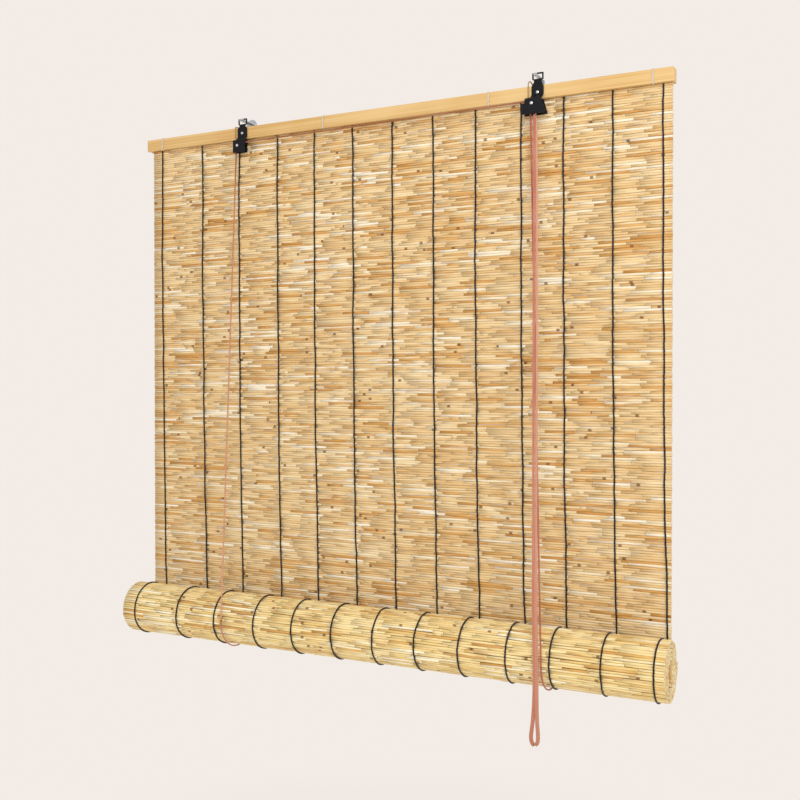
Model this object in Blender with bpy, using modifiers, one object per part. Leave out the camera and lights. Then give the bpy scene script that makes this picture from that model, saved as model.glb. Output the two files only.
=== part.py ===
"""Roll-up reed blind, half rolled up, hung on two wall brackets.

A reed sheet hangs from a head rail of two battens and is rolled up towards the front on a
bottom batten. Two cords run down behind the sheet, under the roll and up in front of it to
a pulley block on the left and a cord lock on the right, from which the pull loop hangs.

Metres, +X to the right, -Y to the front, +Z up. The origin lies in the wall's plane, at the
middle of the roll's length and level with the top of the head rail.
"""

from math import acos, atan2, cos, hypot, pi, radians, sin, sqrt

import bmesh
import bpy
from mathutils import Vector

CLEARANCE = 0.0003  # gap between pieces that touch

# Head rail: two battens with the sheet's top edge between them.
RAIL_LENGTH = 1.203
RAIL_SHIFT = -0.009  # the rail reaches further past the sheet on the left
RAIL_HEIGHT = 0.026
BATTEN_THICKNESS = 0.009
RAIL_EDGE = 0.0012  # rounding of the battens' edges
WALL_GAP = 0.012  # from the wall to the back of the rail
TIE_PLACES = (-0.566, -0.136, 0.238, 0.555)
TIE_WIDTH = 0.0035
TIE_THICKNESS = 0.0009

# Reed sheet and its warp cords.
SHEET_WIDTH = 1.189
SHEET_SHIFT = -0.0055  # the sheet hangs a little left of the brackets' middle
SHEET_THICKNESS = 0.005
SHEET_TOP = -0.001
WARP_COUNT = 13
WARP_MARGIN_LEFT = 0.029
WARP_MARGIN_RIGHT = 0.0155
WARP_DRIFT = 0.030  # how far the middle warps stand right of an even spacing
WARP_DRIFT_SKEW = 0.575  # under 1, the widest drift lies left of the middle
WARP_WIDTH = 0.003
WARP_THICKNESS = 0.0014

# Roll.
ROLL_DROP = 1.070  # from the rail's top to the roll's axis
ROLL_RADIUS = 0.0585
ROLL_STAGGER = 0.011  # the sheet winds on a slight skew, so the roll reaches this much further right
ROLL_TURNS = 5.25
TURN_GAP = 0.0023  # between one turn's back and the next turn's face
BATTEN_CORE_THICKNESS = 0.009
CORE_CLEARANCE = 0.0005
ROLL_STEP = radians(15)  # facets of the winding, which its warp cords share
ROLL_WARP_END = radians(330)

# Cords.
CORD_RADIUS = 0.0018
CORD_TILT_ROOM = 0.13  # share of its radius that a cord's slanting end rises by
LOOP_CORD_RADIUS = 0.0012
STRAND_SPANS = 6  # a straight strand is drawn in this many lengths
SLING_STEPS = 18
SHEAVE_TURN_STEPS = 14  # half a turn of cord over a sheave
LEFT_STRAND_AT_ROLL = -0.325
RIGHT_STRAND_AT_ROLL = 0.3815
LOOP_OFFSET = 0.0185  # from a block's middle to the cord tied round the rail beside it
LEFT_LOOP_SLACK = 0.001
RIGHT_LOOP_SLACK = 0.010
LOOP_FRONT_FOOT = 0.022  # how far down the batten's face the tied cord reaches
LOOP_STEPS = 12
LOOP_FULLNESS = 0.6  # under 1, the arch over the rail is fuller than a half ellipse

# Pulley block and cord lock.
LEFT_BLOCK_X = -0.3415
LOCK_X = 0.3385
STRAP_THICKNESS = 0.002
STRAP_MITRE = 0.0006  # how much lower the strap's front bends than its back
STRAP_EDGE = 0.0012  # rounding of the pressed plates' corners
CHEEK_THICKNESS = 0.0015
CHEEK_WALL = 0.0012  # side wall that closes a block
CHEEK_WALL_ROOT = 0.0007  # how far the wall runs into its plate
BLOCK_BOTTOM = -0.0565
LEFT_BODY_LEFT = 0.0190  # from the block's middle to its left edge
LEFT_BODY_RIGHT = 0.0125
LEFT_BODY_TOP = -0.0290  # the step from the body to the neck
LEFT_NECK_HALF = 0.0122
LEFT_KNEES = (-0.0300, -0.0215)  # where the strap bends back to the batten
LOCK_BODY_LEFT = 0.0262
LOCK_BODY_RIGHT = 0.0200
LOCK_SHOULDER = 0.0115
LOCK_SHOULDER_TOP = -0.0300
LOCK_NECK_HALF = 0.0120
LOCK_KNEES = (-0.0285, -0.0180)
LOCK_STEPS = (-0.0355, -0.0250)  # the two treads of the lock's left edge
LOCK_TREAD = 0.0050
LOCK_WALL_TOP = -0.0400
SIDE_PLAY = 0.0005  # between a sheave and the plate beside it
LEFT_SHEAVE_THICKNESS = 0.0058
LOCK_SHEAVE_THICKNESS = 0.0052
LEFT_CORD_TURN = 0.0060  # radius at the cord's middle over the left sheave
LOCK_CORD_TURN = 0.0050
SHEAVE_FLANGE = 0.0010  # how far a flange stands past the cord's middle
LEFT_AXLE_X = -0.3495
LEFT_AXLE_Z = -0.041
LOCK_AXLE_X = 0.3308
LOCK_AXLE_Z = -0.0363
AXLE_RADIUS = 0.0015
RIVET_HEAD_RADIUS = 0.0032
RIVET_HEAD_HEIGHT = 0.0012
RIVET_TAIL_RADIUS = 0.0024
RIVET_TAIL_HEIGHT = 0.0009
HEAD_ANGLES = (radians(30), radians(60), radians(90))  # rings of a domed head, from its crown
SCREW_RADIUS = 0.0016
SCREW_HEAD_RADIUS = 0.0031
SCREW_HEAD_HEIGHT = 0.0014
SCREW_DROP = 0.0135  # from the rail's top to the fixing screw
SCREW_DEPTH = 0.0075  # how deep the screw sits in the front batten
SCREW_POINT = 0.002
CAM_X = 0.3460
CAM_Z = -0.0470
CAM_RADIUS = 0.0042
CAM_SLOPE = radians(14)  # the nose points this far below level
CAM_ROUND = radians(123)  # the round back reaches this far each way from behind
CAM_NOSE_ANGLES = (radians(9), radians(-1))
CAM_PLAY = 0.0006  # between the cam's back and the lock's side wall

# Straps' eyes and the wall brackets' tongues.
EYE_SETBACK = 0.0015  # the eye stands this far behind the neck
LEFT_EYE_LIFT = 0.0
LOCK_EYE_LIFT = 0.0055  # the lock's eye stands higher over the rail
EYE_FOOT = 0.006
WAIST = ((0.0075, 0.0015), (0.0078, 0.0042))  # half width and height, bottom and top
NECK_SHOULDER = -0.003  # where the neck starts to narrow to the waist
EYE_BASE = 0.0058
WINDOW_EDGE = 0.001
WINDOW_BOTTOM = 0.0065
WINDOW_TOP = 0.0158
WINDOW_HALF_WIDTH = 0.0085
EYE_RIM = 0.0026
LEFT_PLATE_WIDTH = 0.029
RIGHT_PLATE_WIDTH = 0.012
RIGHT_PLATE_OFFSET = -0.004  # from the lock's middle
PLATE_TOP = 0.024
PLATE_BOTTOM = -0.020
PLATE_THICKNESS = 0.002
PLATE_HOLE_RADIUS = 0.0025
PLATE_HOLE_DROP = 0.008
LEFT_TONGUE_WIDTH = 0.012
RIGHT_TONGUE_WIDTH = 0.008
TONGUE_THICKNESS = 0.002
TONGUE_REACH = 0.0028  # past the eye
TONGUE_TIP_RISE = 0.0012

# Worked out from the values above.
REAR_BATTEN_BACK = -WALL_GAP
REAR_BATTEN_FRONT = REAR_BATTEN_BACK - BATTEN_THICKNESS
SHEET_BACK = REAR_BATTEN_FRONT - CLEARANCE
SHEET_FRONT = SHEET_BACK - SHEET_THICKNESS
FRONT_BATTEN_BACK = SHEET_FRONT - CLEARANCE
RAIL_FRONT = FRONT_BATTEN_BACK - BATTEN_THICKNESS
UNDER_TIES = -RAIL_HEIGHT - TIE_THICKNESS - 2 * CLEARANCE
ROLL_Y = SHEET_BACK - ROLL_RADIUS
ROLL_Z = -ROLL_DROP
PITCH = SHEET_THICKNESS + TURN_GAP
STRAND_RADIUS_ON_ROLL = ROLL_RADIUS + CLEARANCE + CORD_RADIUS
CHEEK_BACK = RAIL_FRONT - CLEARANCE
CHEEK_FRONT = CHEEK_BACK - CHEEK_THICKNESS
LEFT_SHEAVE_Y = CHEEK_FRONT - SIDE_PLAY - LEFT_SHEAVE_THICKNESS / 2
LEFT_STRAP_BACK = LEFT_SHEAVE_Y - LEFT_SHEAVE_THICKNESS / 2 - SIDE_PLAY
REAR_LOCK_SHEAVE_Y = CHEEK_FRONT - SIDE_PLAY - LOCK_SHEAVE_THICKNESS / 2
FRONT_LOCK_SHEAVE_Y = REAR_LOCK_SHEAVE_Y - LOCK_SHEAVE_THICKNESS - SIDE_PLAY
LOCK_STRAP_BACK = FRONT_LOCK_SHEAVE_Y - LOCK_SHEAVE_THICKNESS / 2 - SIDE_PLAY
NECK_BACK = RAIL_FRONT - CLEARANCE
EYE_BACK = NECK_BACK + EYE_SETBACK
LEFT_STRAND_X = LEFT_AXLE_X - LEFT_CORD_TURN
LOCK_LIFT_X = LOCK_AXLE_X - LOCK_CORD_TURN
LOCK_PULL_X = LOCK_AXLE_X + LOCK_CORD_TURN
STRAND_TOP = BLOCK_BOTTOM

# Route of the pull loop, down its left strand, round the end and up its right strand.
PULL_ROUTE = [
    (LOCK_PULL_X, FRONT_LOCK_SHEAVE_Y, STRAND_TOP),
    (0.3361, -0.0482, -0.075),
    (0.3376, -0.0530, -0.120),
    (0.3420, -0.0660, -0.250),
    (0.3486, -0.0860, -0.450),
    (0.3553, -0.1060, -0.650),
    (0.3621, -0.1258, -0.850),
    (0.3659, -0.1358, -0.960),
    (0.3679, -0.1394, -1.010),
    (0.3694, -0.1410, -1.050),
    (0.3700, -0.1413, -1.085),
    (0.3697, -0.1413, -1.120),
    (0.3687, -0.1413, -1.150),
    (0.3669, -0.1413, -1.175),
    (0.3651, -0.1413, -1.190),
    (0.3638, -0.1413, -1.201),
    (0.3641, -0.1413, -1.2090),
    (0.3663, -0.1413, -1.2150),
    (0.3702, -0.1413, -1.2180),
    (0.3742, -0.1413, -1.2155),
    (0.3765, -0.1413, -1.2095),
    (0.3769, -0.1413, -1.201),
    (0.3763, -0.1413, -1.190),
    (0.3752, -0.1413, -1.175),
    (0.3745, -0.1413, -1.150),
    (0.3743, -0.1413, -1.120),
    (0.3742, -0.1413, -1.085),
    (0.3736, -0.1410, -1.050),
    (0.3722, -0.1394, -1.010),
    (0.3703, -0.1352, -0.960),
    (0.3668, -0.1240, -0.850),
    (0.3601, -0.1036, -0.650),
    (0.3532, -0.0832, -0.450),
    (0.3461, -0.0624, -0.250),
    (0.3400, -0.0484, -0.120),
    (0.3377, -0.0428, -0.075),
    (LOCK_PULL_X, REAR_LOCK_SHEAVE_Y, STRAND_TOP),
]
PULL_SAMPLES_PER_SPAN = 2

# The solids that straps are bent from, and how far a bend's outline runs past them.
BLANK_DEPTH = 0.08
BLANK_MIDDLE = -0.035
BLANK_WIDTH = 0.06
BLANK_SPARE = 0.01

MOST_OF_EDGE = 0.45  # the most of an outline's edge that one corner's rounding takes
PARTS = "roll_up_reed_blind"
CUTTERS = "cutters"

# Axes that a flat outline's own X, Y and depth are turned to.
FACING_FRONT = (pi / 2, 0, 0)  # outline in X and Z, depth along -Y
FACING_SIDE = (pi / 2, 0, pi / 2)  # outline in Y and Z, depth along +X


# ---------------------------------------------------------------- scene and materials


def clear_scene():
    for obj in list(bpy.data.objects):
        bpy.data.objects.remove(obj, do_unlink=True)


def new_collection(name):
    collection = bpy.data.collections.new(name)
    bpy.context.scene.collection.children.link(collection)
    return collection


def linear(hex_colour):
    """A #RRGGBB colour as linear RGBA."""
    channels = [int(hex_colour[i : i + 2], 16) / 255 for i in (1, 3, 5)]
    light = [c / 12.92 if c <= 0.04045 else ((c + 0.055) / 1.055) ** 2.4 for c in channels]
    return (*light, 1)


def make_material(name, hex_colour, roughness, metallic=0.0):
    material = bpy.data.materials.new(name)
    material.use_nodes = True
    shader = material.node_tree.nodes["Principled BSDF"]
    shader.inputs["Base Color"].default_value = linear(hex_colour)
    shader.inputs["Roughness"].default_value = roughness
    shader.inputs["Metallic"].default_value = metallic
    return material


def make_materials():
    return {
        "batten": make_material("bamboo_batten", "#DDB877", 0.5),
        "tie": make_material("cream_cotton", "#F3EBD8", 0.9),
        "reed": make_material("dried_reed", "#E0C489", 0.7),
        "warp": make_material("black_warp_cord", "#1E1410", 0.85),
        "cord": make_material("salmon_cord", "#C8705C", 0.85),
        "tan": make_material("tan_cord", "#C9A06A", 0.85),
        "enamel": make_material("black_enamel", "#1A1A20", 0.4),
        "nylon": make_material("nylon", "#2A2A2E", 0.5),
        "steel": make_material("bright_steel", "#C9CDD2", 0.3, 1.0),
        "zinc": make_material("galvanised_steel", "#C4CCD4", 0.4, 1.0),
    }


def add(obj, material, collection, location=(0, 0, 0)):
    """Links a new object into its collection, with its material and its place."""
    collection.objects.link(obj)
    obj.location = location
    obj.data.materials.append(material)
    return obj


# ---------------------------------------------------------------- shapes


def cuboid(name, low, high, material, collection, bevel=0.0):
    """A box between two corners, its edges rounded by bevel."""
    low, high = Vector(low), Vector(high)
    mesh = bpy.data.meshes.new(name)
    bm = bmesh.new()
    bmesh.ops.create_cube(bm, size=1)
    bmesh.ops.scale(bm, vec=high - low, verts=bm.verts)
    bm.to_mesh(mesh)
    bm.free()
    obj = add(bpy.data.objects.new(name, mesh), material, collection, (low + high) / 2)
    if bevel:
        rounding = obj.modifiers.new("rounding", "BEVEL")
        rounding.width = bevel
        rounding.segments = 2
    return obj


def flat_shape(name, outlines, depth, facing, location, material, collection):
    """A flat outline of depth, its further outlines cut out of the first as holes."""
    curve = bpy.data.curves.new(name, "CURVE")
    curve.dimensions = "2D"
    curve.fill_mode = "BOTH"
    curve.extrude = depth / 2
    for outline in outlines:
        spline = curve.splines.new("POLY")
        spline.points.add(len(outline) - 1)
        for point, (x, y) in zip(spline.points, outline):
            point.co = (x, y, 0, 1)
        spline.use_cyclic_u = True
    obj = add(bpy.data.objects.new(name, curve), material, collection, location)
    obj.rotation_euler = facing
    return obj


def as_mesh(obj):
    """The curve object made a mesh object of the same name, its caps welded to its sides."""
    bpy.context.view_layer.update()
    evaluated = obj.evaluated_get(bpy.context.evaluated_depsgraph_get())
    mesh = bpy.data.meshes.new_from_object(evaluated)
    bm = bmesh.new()
    bm.from_mesh(mesh)
    bmesh.ops.remove_doubles(bm, verts=bm.verts, dist=1e-6)
    bmesh.ops.recalc_face_normals(bm, faces=bm.faces)
    bm.to_mesh(mesh)
    bm.free()
    name, matrix = obj.name, obj.matrix_world.copy()
    collection = obj.users_collection[0]
    bpy.data.objects.remove(obj, do_unlink=True)
    made = bpy.data.objects.new(name, mesh)
    made.matrix_world = matrix
    collection.objects.link(made)
    return made


def combine(obj, other, operation):
    """A Boolean of obj with a helper that isn't a part itself."""
    other.hide_render = True
    other.display_type = "WIRE"
    modifier = obj.modifiers.new(operation.lower(), "BOOLEAN")
    modifier.operation = operation
    modifier.object = other
    return obj


def arc(centre, radius, start, end, steps):
    """Points (first, second coordinate) along an arc, angles from the first axis."""
    turns = [start + (end - start) * i / steps for i in range(steps + 1)]
    return [(centre[0] + radius * cos(a), centre[1] + radius * sin(a)) for a in turns]


def circle(centre, radius, count=20):
    return arc(centre, radius, 0, 2 * pi, count)[:-1]


def rounded(corners, radius, steps=3):
    """The closed outline with each corner replaced by an arc, limited by its two edges."""
    outline = []
    for i, corner in enumerate(corners):
        here = Vector(corner)
        before = Vector(corners[i - 1]) - here
        after = Vector(corners[(i + 1) % len(corners)]) - here
        half_angle = before.angle(after) / 2
        most = MOST_OF_EDGE * min(before.length, after.length)
        reach = min(radius / abs(sin(half_angle)) * cos(half_angle), most)
        start, end = here + before.normalized() * reach, here + after.normalized() * reach
        for step in range(steps + 1):
            t = step / steps
            point = (1 - t) ** 2 * start + 2 * t * (1 - t) * here + t**2 * end
            outline.append(tuple(point))
    return outline


def tube(name, points, radius, material, collection):
    """A cord or wire along a list of points."""
    curve = bpy.data.curves.new(name, "CURVE")
    curve.dimensions = "3D"
    curve.bevel_depth = radius
    curve.bevel_resolution = 2
    curve.use_fill_caps = True
    spline = curve.splines.new("POLY")
    spline.points.add(len(points) - 1)
    for point, place in zip(spline.points, points):
        point.co = (*place, 1)
    spline.use_smooth = True
    return add(bpy.data.objects.new(name, curve), material, collection)


def turned(name, profile, centre, material, collection, closed=False, steps=24):
    """A piece turned about an axis along Y. The profile is (radius, distance to the front)."""
    mesh = bpy.data.meshes.new(name)
    bm = bmesh.new()
    verts = [bm.verts.new((radius, 0, along)) for radius, along in profile]
    for first, second in zip(verts, verts[1:] + verts[:1] if closed else verts[1:]):
        bm.edges.new((first, second))
    bm.to_mesh(mesh)
    bm.free()
    obj = add(bpy.data.objects.new(name, mesh), material, collection, centre)
    obj.rotation_euler = FACING_FRONT
    screw = obj.modifiers.new("turning", "SCREW")
    screw.steps = screw.render_steps = steps
    screw.use_merge_vertices = True
    screw.merge_threshold = 0.00001
    screw.use_smooth_shade = True
    return obj


def smooth_curve(points, per_span):
    """Points along a Catmull-Rom curve through the route's own points."""
    route = [Vector(p) for p in points]
    ends = [2 * route[0] - route[1]] + route + [2 * route[-1] - route[-2]]
    curve = []
    for a, b, c, d in zip(ends, ends[1:], ends[2:], ends[3:]):
        for step in range(per_span):
            t = step / per_span
            square, cube = 2 * a - 5 * b + 4 * c - d, 3 * b - a - 3 * c + d
            curve.append((2 * b + (c - a) * t + square * t**2 + cube * t**3) / 2)
    return curve + [route[-1]]


# ---------------------------------------------------------------- head rail and sheet


def build_head_rail(materials, parts):
    left = RAIL_SHIFT - RAIL_LENGTH / 2
    right = RAIL_SHIFT + RAIL_LENGTH / 2
    for name, front, back in (
        ("front_batten", RAIL_FRONT, FRONT_BATTEN_BACK),
        ("rear_batten", REAR_BATTEN_FRONT, REAR_BATTEN_BACK),
    ):
        low, high = (left, front, -RAIL_HEIGHT), (right, back, 0)
        cuboid(name, low, high, materials["batten"], parts, bevel=RAIL_EDGE)


def build_ties(materials, parts):
    """Cotton bands over both battens, tucked under them on each side of the sheet."""
    inner_front, inner_back = RAIL_FRONT - CLEARANCE, REAR_BATTEN_BACK + CLEARANCE
    inner_top, inner_bottom = CLEARANCE, -RAIL_HEIGHT - CLEARANCE
    outer_front, outer_back = inner_front - TIE_THICKNESS, inner_back + TIE_THICKNESS
    outer_top, outer_bottom = inner_top + TIE_THICKNESS, inner_bottom - TIE_THICKNESS
    tuck_front, tuck_back = SHEET_FRONT - CLEARANCE, SHEET_BACK + CLEARANCE
    outline = [
        (tuck_front, outer_bottom), (tuck_front, inner_bottom), (inner_front, inner_bottom),
        (inner_front, inner_top), (inner_back, inner_top), (inner_back, inner_bottom),
        (tuck_back, inner_bottom), (tuck_back, outer_bottom), (outer_back, outer_bottom),
        (outer_back, outer_top), (outer_front, outer_top), (outer_front, outer_bottom),
    ]
    for number, place in enumerate(TIE_PLACES, 1):
        name, middle = f"batten_tie_{number}", (place, 0, 0)
        flat_shape(name, [outline], TIE_WIDTH, FACING_SIDE, middle, materials["tie"], parts)


def sheet_edges():
    """X of the sheet's left and right edge."""
    return SHEET_SHIFT - SHEET_WIDTH / 2, SHEET_SHIFT + SHEET_WIDTH / 2


def warp_places():
    """X of each warp cord: even spacing, with the middle ones drifting to the right."""
    left, right = sheet_edges()
    left, right = left + WARP_MARGIN_LEFT, right - WARP_MARGIN_RIGHT
    places = []
    for number in range(WARP_COUNT):
        share = number / (WARP_COUNT - 1)
        places.append(left + (right - left) * share + WARP_DRIFT * sin(pi * share**WARP_DRIFT_SKEW))
    return places


def build_sheet(materials, parts):
    left, right = sheet_edges()
    bottom = ROLL_Z + CLEARANCE
    low, high = (left, SHEET_FRONT, bottom), (right, SHEET_BACK, SHEET_TOP)
    cuboid("reed_sheet", low, high, materials["reed"], parts)
    warp_back = SHEET_FRONT - CLEARANCE
    for number, x in enumerate(warp_places(), 1):
        low = (x - WARP_WIDTH / 2, warp_back - WARP_THICKNESS, bottom)
        high = (x + WARP_WIDTH / 2, warp_back, UNDER_TIES)
        cuboid(f"warp_cord_{number:02}", low, high, materials["warp"], parts)


# ---------------------------------------------------------------- roll


def spiral(radius, start, end):
    """Points (Y, Z) about the roll's axis along a winding that starts at the back and goes down."""
    steps = max(1, round((end - start) / ROLL_STEP))
    points = []
    for i in range(steps + 1):
        turned_by = start + (end - start) * i / steps
        here = radius - PITCH * turned_by / (2 * pi)
        points.append((here * cos(turned_by), -here * sin(turned_by)))
    return points


def winding(outer_radius, thickness, start, end):
    """The outline of a band wound like the roll, its outer side at outer_radius where it starts."""
    return spiral(outer_radius, start, end) + spiral(outer_radius - thickness, start, end)[::-1]


def build_roll(materials, parts):
    outline = winding(ROLL_RADIUS, SHEET_THICKNESS, 0, 2 * pi * ROLL_TURNS)
    left, right = sheet_edges()
    right += ROLL_STAGGER
    centre = ((left + right) / 2, ROLL_Y, ROLL_Z)
    width = right - left
    flat_shape("reed_roll", [outline], width, FACING_SIDE, centre, materials["reed"], parts)
    warp_radius = ROLL_RADIUS + CLEARANCE + WARP_THICKNESS
    band = winding(warp_radius, WARP_THICKNESS, 0, ROLL_WARP_END)
    for number, x in enumerate(warp_places(), 1):
        name, middle = f"roll_warp_{number:02}", (x, ROLL_Y, ROLL_Z)
        flat_shape(name, [band], WARP_WIDTH, FACING_SIDE, middle, materials["warp"], parts)
    core = ROLL_RADIUS - PITCH * ROLL_TURNS - SHEET_THICKNESS - CORE_CLEARANCE
    half_thick = BATTEN_CORE_THICKNESS / 2
    half_wide = sqrt(core**2 - half_thick**2)
    low = (left, ROLL_Y - half_wide, ROLL_Z - half_thick)
    high = (right, ROLL_Y + half_wide, ROLL_Z + half_thick)
    batten = cuboid("bottom_batten", low, high, materials["batten"], parts)
    # One corner points to where the innermost turn ends.
    batten.rotation_euler.x = -2 * pi * ROLL_TURNS + atan2(half_thick, half_wide)


# ---------------------------------------------------------------- cords


def front_tangent(y, z):
    """(Y, Z, angle) where a cord from (y, z) above meets the roll's front."""
    dy, dz = y - ROLL_Y, z - ROLL_Z
    angle = atan2(dz, dy) + acos(STRAND_RADIUS_ON_ROLL / hypot(dy, dz))
    return (
        ROLL_Y + STRAND_RADIUS_ON_ROLL * cos(angle),
        ROLL_Z + STRAND_RADIUS_ON_ROLL * sin(angle),
        angle,
    )


def straight(name, top, foot, material, parts):
    """A straight strand of cord."""
    top, foot = Vector(top), Vector(foot)
    points = [top.lerp(foot, i / STRAND_SPANS) for i in range(STRAND_SPANS + 1)]
    tube(name, points, CORD_RADIUS, material, parts)


def build_strand(side, top_x, top_y, roll_x, loop_x, materials, parts):
    """A lift cord: its front strand, the sling under the roll and its strand behind the sheet."""
    cord = materials["cord"]
    y, z, angle = front_tangent(top_y, STRAND_TOP)
    top, foot = (top_x, top_y, STRAND_TOP - CLEARANCE), (roll_x, y, z)
    straight(f"{side}_lift_strand", top, foot, cord, parts)
    spare = CLEARANCE / STRAND_RADIUS_ON_ROLL
    turn = (angle + spare, 2 * pi - spare)
    path = arc((ROLL_Y, ROLL_Z), STRAND_RADIUS_ON_ROLL, *turn, SLING_STEPS)
    tube(f"{side}_roll_sling", [(roll_x, *p) for p in path], CORD_RADIUS, cord, parts)
    back_y = ROLL_Y + STRAND_RADIUS_ON_ROLL
    high = (loop_x, back_y, -RAIL_HEIGHT - CORD_RADIUS - 2 * CLEARANCE)
    low = (roll_x, back_y, ROLL_Z + CLEARANCE)
    straight(f"{side}_rear_strand", high, low, cord, parts)


def build_rail_loop(side, x, slack, materials, parts):
    """The cord's end tied round the rail: up the front, over the top and down behind."""
    off = CLEARANCE + LOOP_CORD_RADIUS
    front, back = RAIL_FRONT - off, REAR_BATTEN_BACK + off
    rise = off + slack
    middle, span = (front + back) / 2, (back - front) / 2
    angles = [pi * i / LOOP_STEPS for i in range(1, LOOP_STEPS)]
    arch = [(middle - span * cos(a), rise * sin(a) ** LOOP_FULLNESS) for a in angles]
    up, down = [(front, -LOOP_FRONT_FOOT), (front, 0)], [(back, 0), (back, -RAIL_HEIGHT)]
    route = up + arch + down
    tube(f"{side}_rail_loop", [(x, *p) for p in route], LOOP_CORD_RADIUS, materials["tan"], parts)


def build_block_cords(materials, parts):
    """The cords that run over the sheaves inside the two blocks."""
    bottom = STRAND_TOP + CLEARANCE + CORD_TILT_ROOM * CORD_RADIUS
    cord = materials["cord"]
    left_axle, lock_axle = (LEFT_AXLE_X, LEFT_AXLE_Z), (LOCK_AXLE_X, LOCK_AXLE_Z)
    quarter = SHEAVE_TURN_STEPS // 2
    over_left = arc(left_axle, LEFT_CORD_TURN, pi, pi / 2, quarter)
    over_lock = arc(lock_axle, LOCK_CORD_TURN, pi / 2, 0, quarter)
    points = [(x, LEFT_SHEAVE_Y, z) for x, z in [(LEFT_STRAND_X, bottom), *over_left]]
    points += [(x, FRONT_LOCK_SHEAVE_Y, z) for x, z in [*over_lock, (LOCK_PULL_X, bottom)]]
    tube("cross_cord", points, CORD_RADIUS, cord, parts)
    half_turn = arc(lock_axle, LOCK_CORD_TURN, pi, 0, SHEAVE_TURN_STEPS)
    route = [(LOCK_LIFT_X, bottom), *half_turn, (LOCK_PULL_X, bottom)]
    points = [(x, REAR_LOCK_SHEAVE_Y, z) for x, z in route]
    tube("lock_cord_turn", points, CORD_RADIUS, cord, parts)


def build_cords(materials, parts):
    left_loop_x, right_loop_x = LEFT_BLOCK_X - LOOP_OFFSET, LOCK_X - LOOP_OFFSET
    left = (LEFT_STRAND_X, LEFT_SHEAVE_Y, LEFT_STRAND_AT_ROLL, left_loop_x)
    right = (LOCK_LIFT_X, REAR_LOCK_SHEAVE_Y, RIGHT_STRAND_AT_ROLL, right_loop_x)
    build_strand("left", *left, materials, parts)
    build_strand("right", *right, materials, parts)
    build_rail_loop("left", left_loop_x, LEFT_LOOP_SLACK, materials, parts)
    build_rail_loop("right", right_loop_x, RIGHT_LOOP_SLACK, materials, parts)
    build_block_cords(materials, parts)
    points = smooth_curve(PULL_ROUTE, PULL_SAMPLES_PER_SPAN)
    tube("pull_cord", points, CORD_RADIUS, materials["cord"], parts)


# ---------------------------------------------------------------- pulley block and cord lock


def strap_section(strap_back, knees):
    """The strap seen from the side: proud at the block, back on the batten, then back to its eye."""
    knee_low, knee_high = knees
    backs = [
        (strap_back, BLOCK_BOTTOM - BLANK_SPARE), (strap_back, knee_low),
        (NECK_BACK, knee_high), (NECK_BACK, 2 * CLEARANCE),
        (EYE_BACK, EYE_FOOT), (EYE_BACK, PLATE_TOP + BLANK_SPARE),
    ]
    mitred = [(y, z - STRAP_MITRE if z > knee_low else z) for y, z in backs]
    fronts = [(y - STRAP_THICKNESS, z) for y, z in mitred]
    return backs + fronts[::-1]


def plate_mesh(name, outlines, depth, facing, middle, material, collection):
    """A flat outline of depth as a mesh, ready for a Boolean."""
    obj = as_mesh(flat_shape(name, outlines, depth, facing, middle, material, collection))
    obj.data.materials.append(material)
    return obj


def build_strap(name, outline, holes, section, x, materials, parts, cutters):
    """A bent strap: its outline from the front, kept only where its section from the side is."""
    outlines, middle, enamel = [outline, *holes], (0, BLANK_MIDDLE, 0), materials["enamel"]
    strap = plate_mesh(name, outlines, BLANK_DEPTH, FACING_FRONT, middle, enamel, parts)
    bend_name, place = name + "_bend", (x, 0, 0)
    bend = plate_mesh(bend_name, [section], BLANK_WIDTH, FACING_SIDE, place, enamel, cutters)
    return combine(strap, bend, "INTERSECT")


def rectangle(left, right, bottom, top):
    return [(left, bottom), (right, bottom), (right, top), (left, top)]


def window(x, lift):
    left, right = x - WINDOW_HALF_WIDTH, x + WINDOW_HALF_WIDTH
    return rounded(rectangle(left, right, WINDOW_BOTTOM + lift, WINDOW_TOP + lift), WINDOW_EDGE, 2)


def eye_outline(x, neck_half_width, lift):
    """Right to left over the strap's waist and eye."""
    eye_half = WINDOW_HALF_WIDTH + EYE_RIM
    eye = [(eye_half, EYE_BASE), (eye_half, WINDOW_TOP + EYE_RIM)]
    right = [(neck_half_width, NECK_SHOULDER)] + [(half, z + lift) for half, z in [*WAIST, *eye]]
    return [(x + half, z) for half, z in right] + [(x - half, z) for half, z in right[::-1]]


def domed_head(radius, height, front):
    """Profile of a domed head from its crown to its rim."""
    rings = [(radius * sin(a), front + height * cos(a)) for a in HEAD_ANGLES]
    return [(0, front + height), *rings]


def rivet(name, x, front, z, length_back, materials, parts):
    """A domed rivet from in front of a strap to behind its cheek, which the sheaves turn on."""
    back = -length_back
    profile = domed_head(RIVET_HEAD_RADIUS, RIVET_HEAD_HEIGHT, front) + [
        (AXLE_RADIUS, front), (AXLE_RADIUS, back), (RIVET_TAIL_RADIUS, back),
        (RIVET_TAIL_RADIUS, back - RIVET_TAIL_HEIGHT), (0, back - RIVET_TAIL_HEIGHT),
    ]
    return turned(name, profile, (x, 0, z), materials["steel"], parts, steps=20)


def fixing_screw(name, x, materials, parts):
    """A pan-head screw through the strap's neck into the front batten."""
    front = -(NECK_BACK - STRAP_THICKNESS) + CLEARANCE
    tip = -RAIL_FRONT - SCREW_DEPTH
    head = domed_head(SCREW_HEAD_RADIUS, SCREW_HEAD_HEIGHT, front)
    profile = head + [(SCREW_RADIUS, front), (SCREW_RADIUS, tip + SCREW_POINT), (0, tip)]
    return turned(name, profile, (x, 0, -SCREW_DROP), materials["steel"], parts, steps=20)


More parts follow.
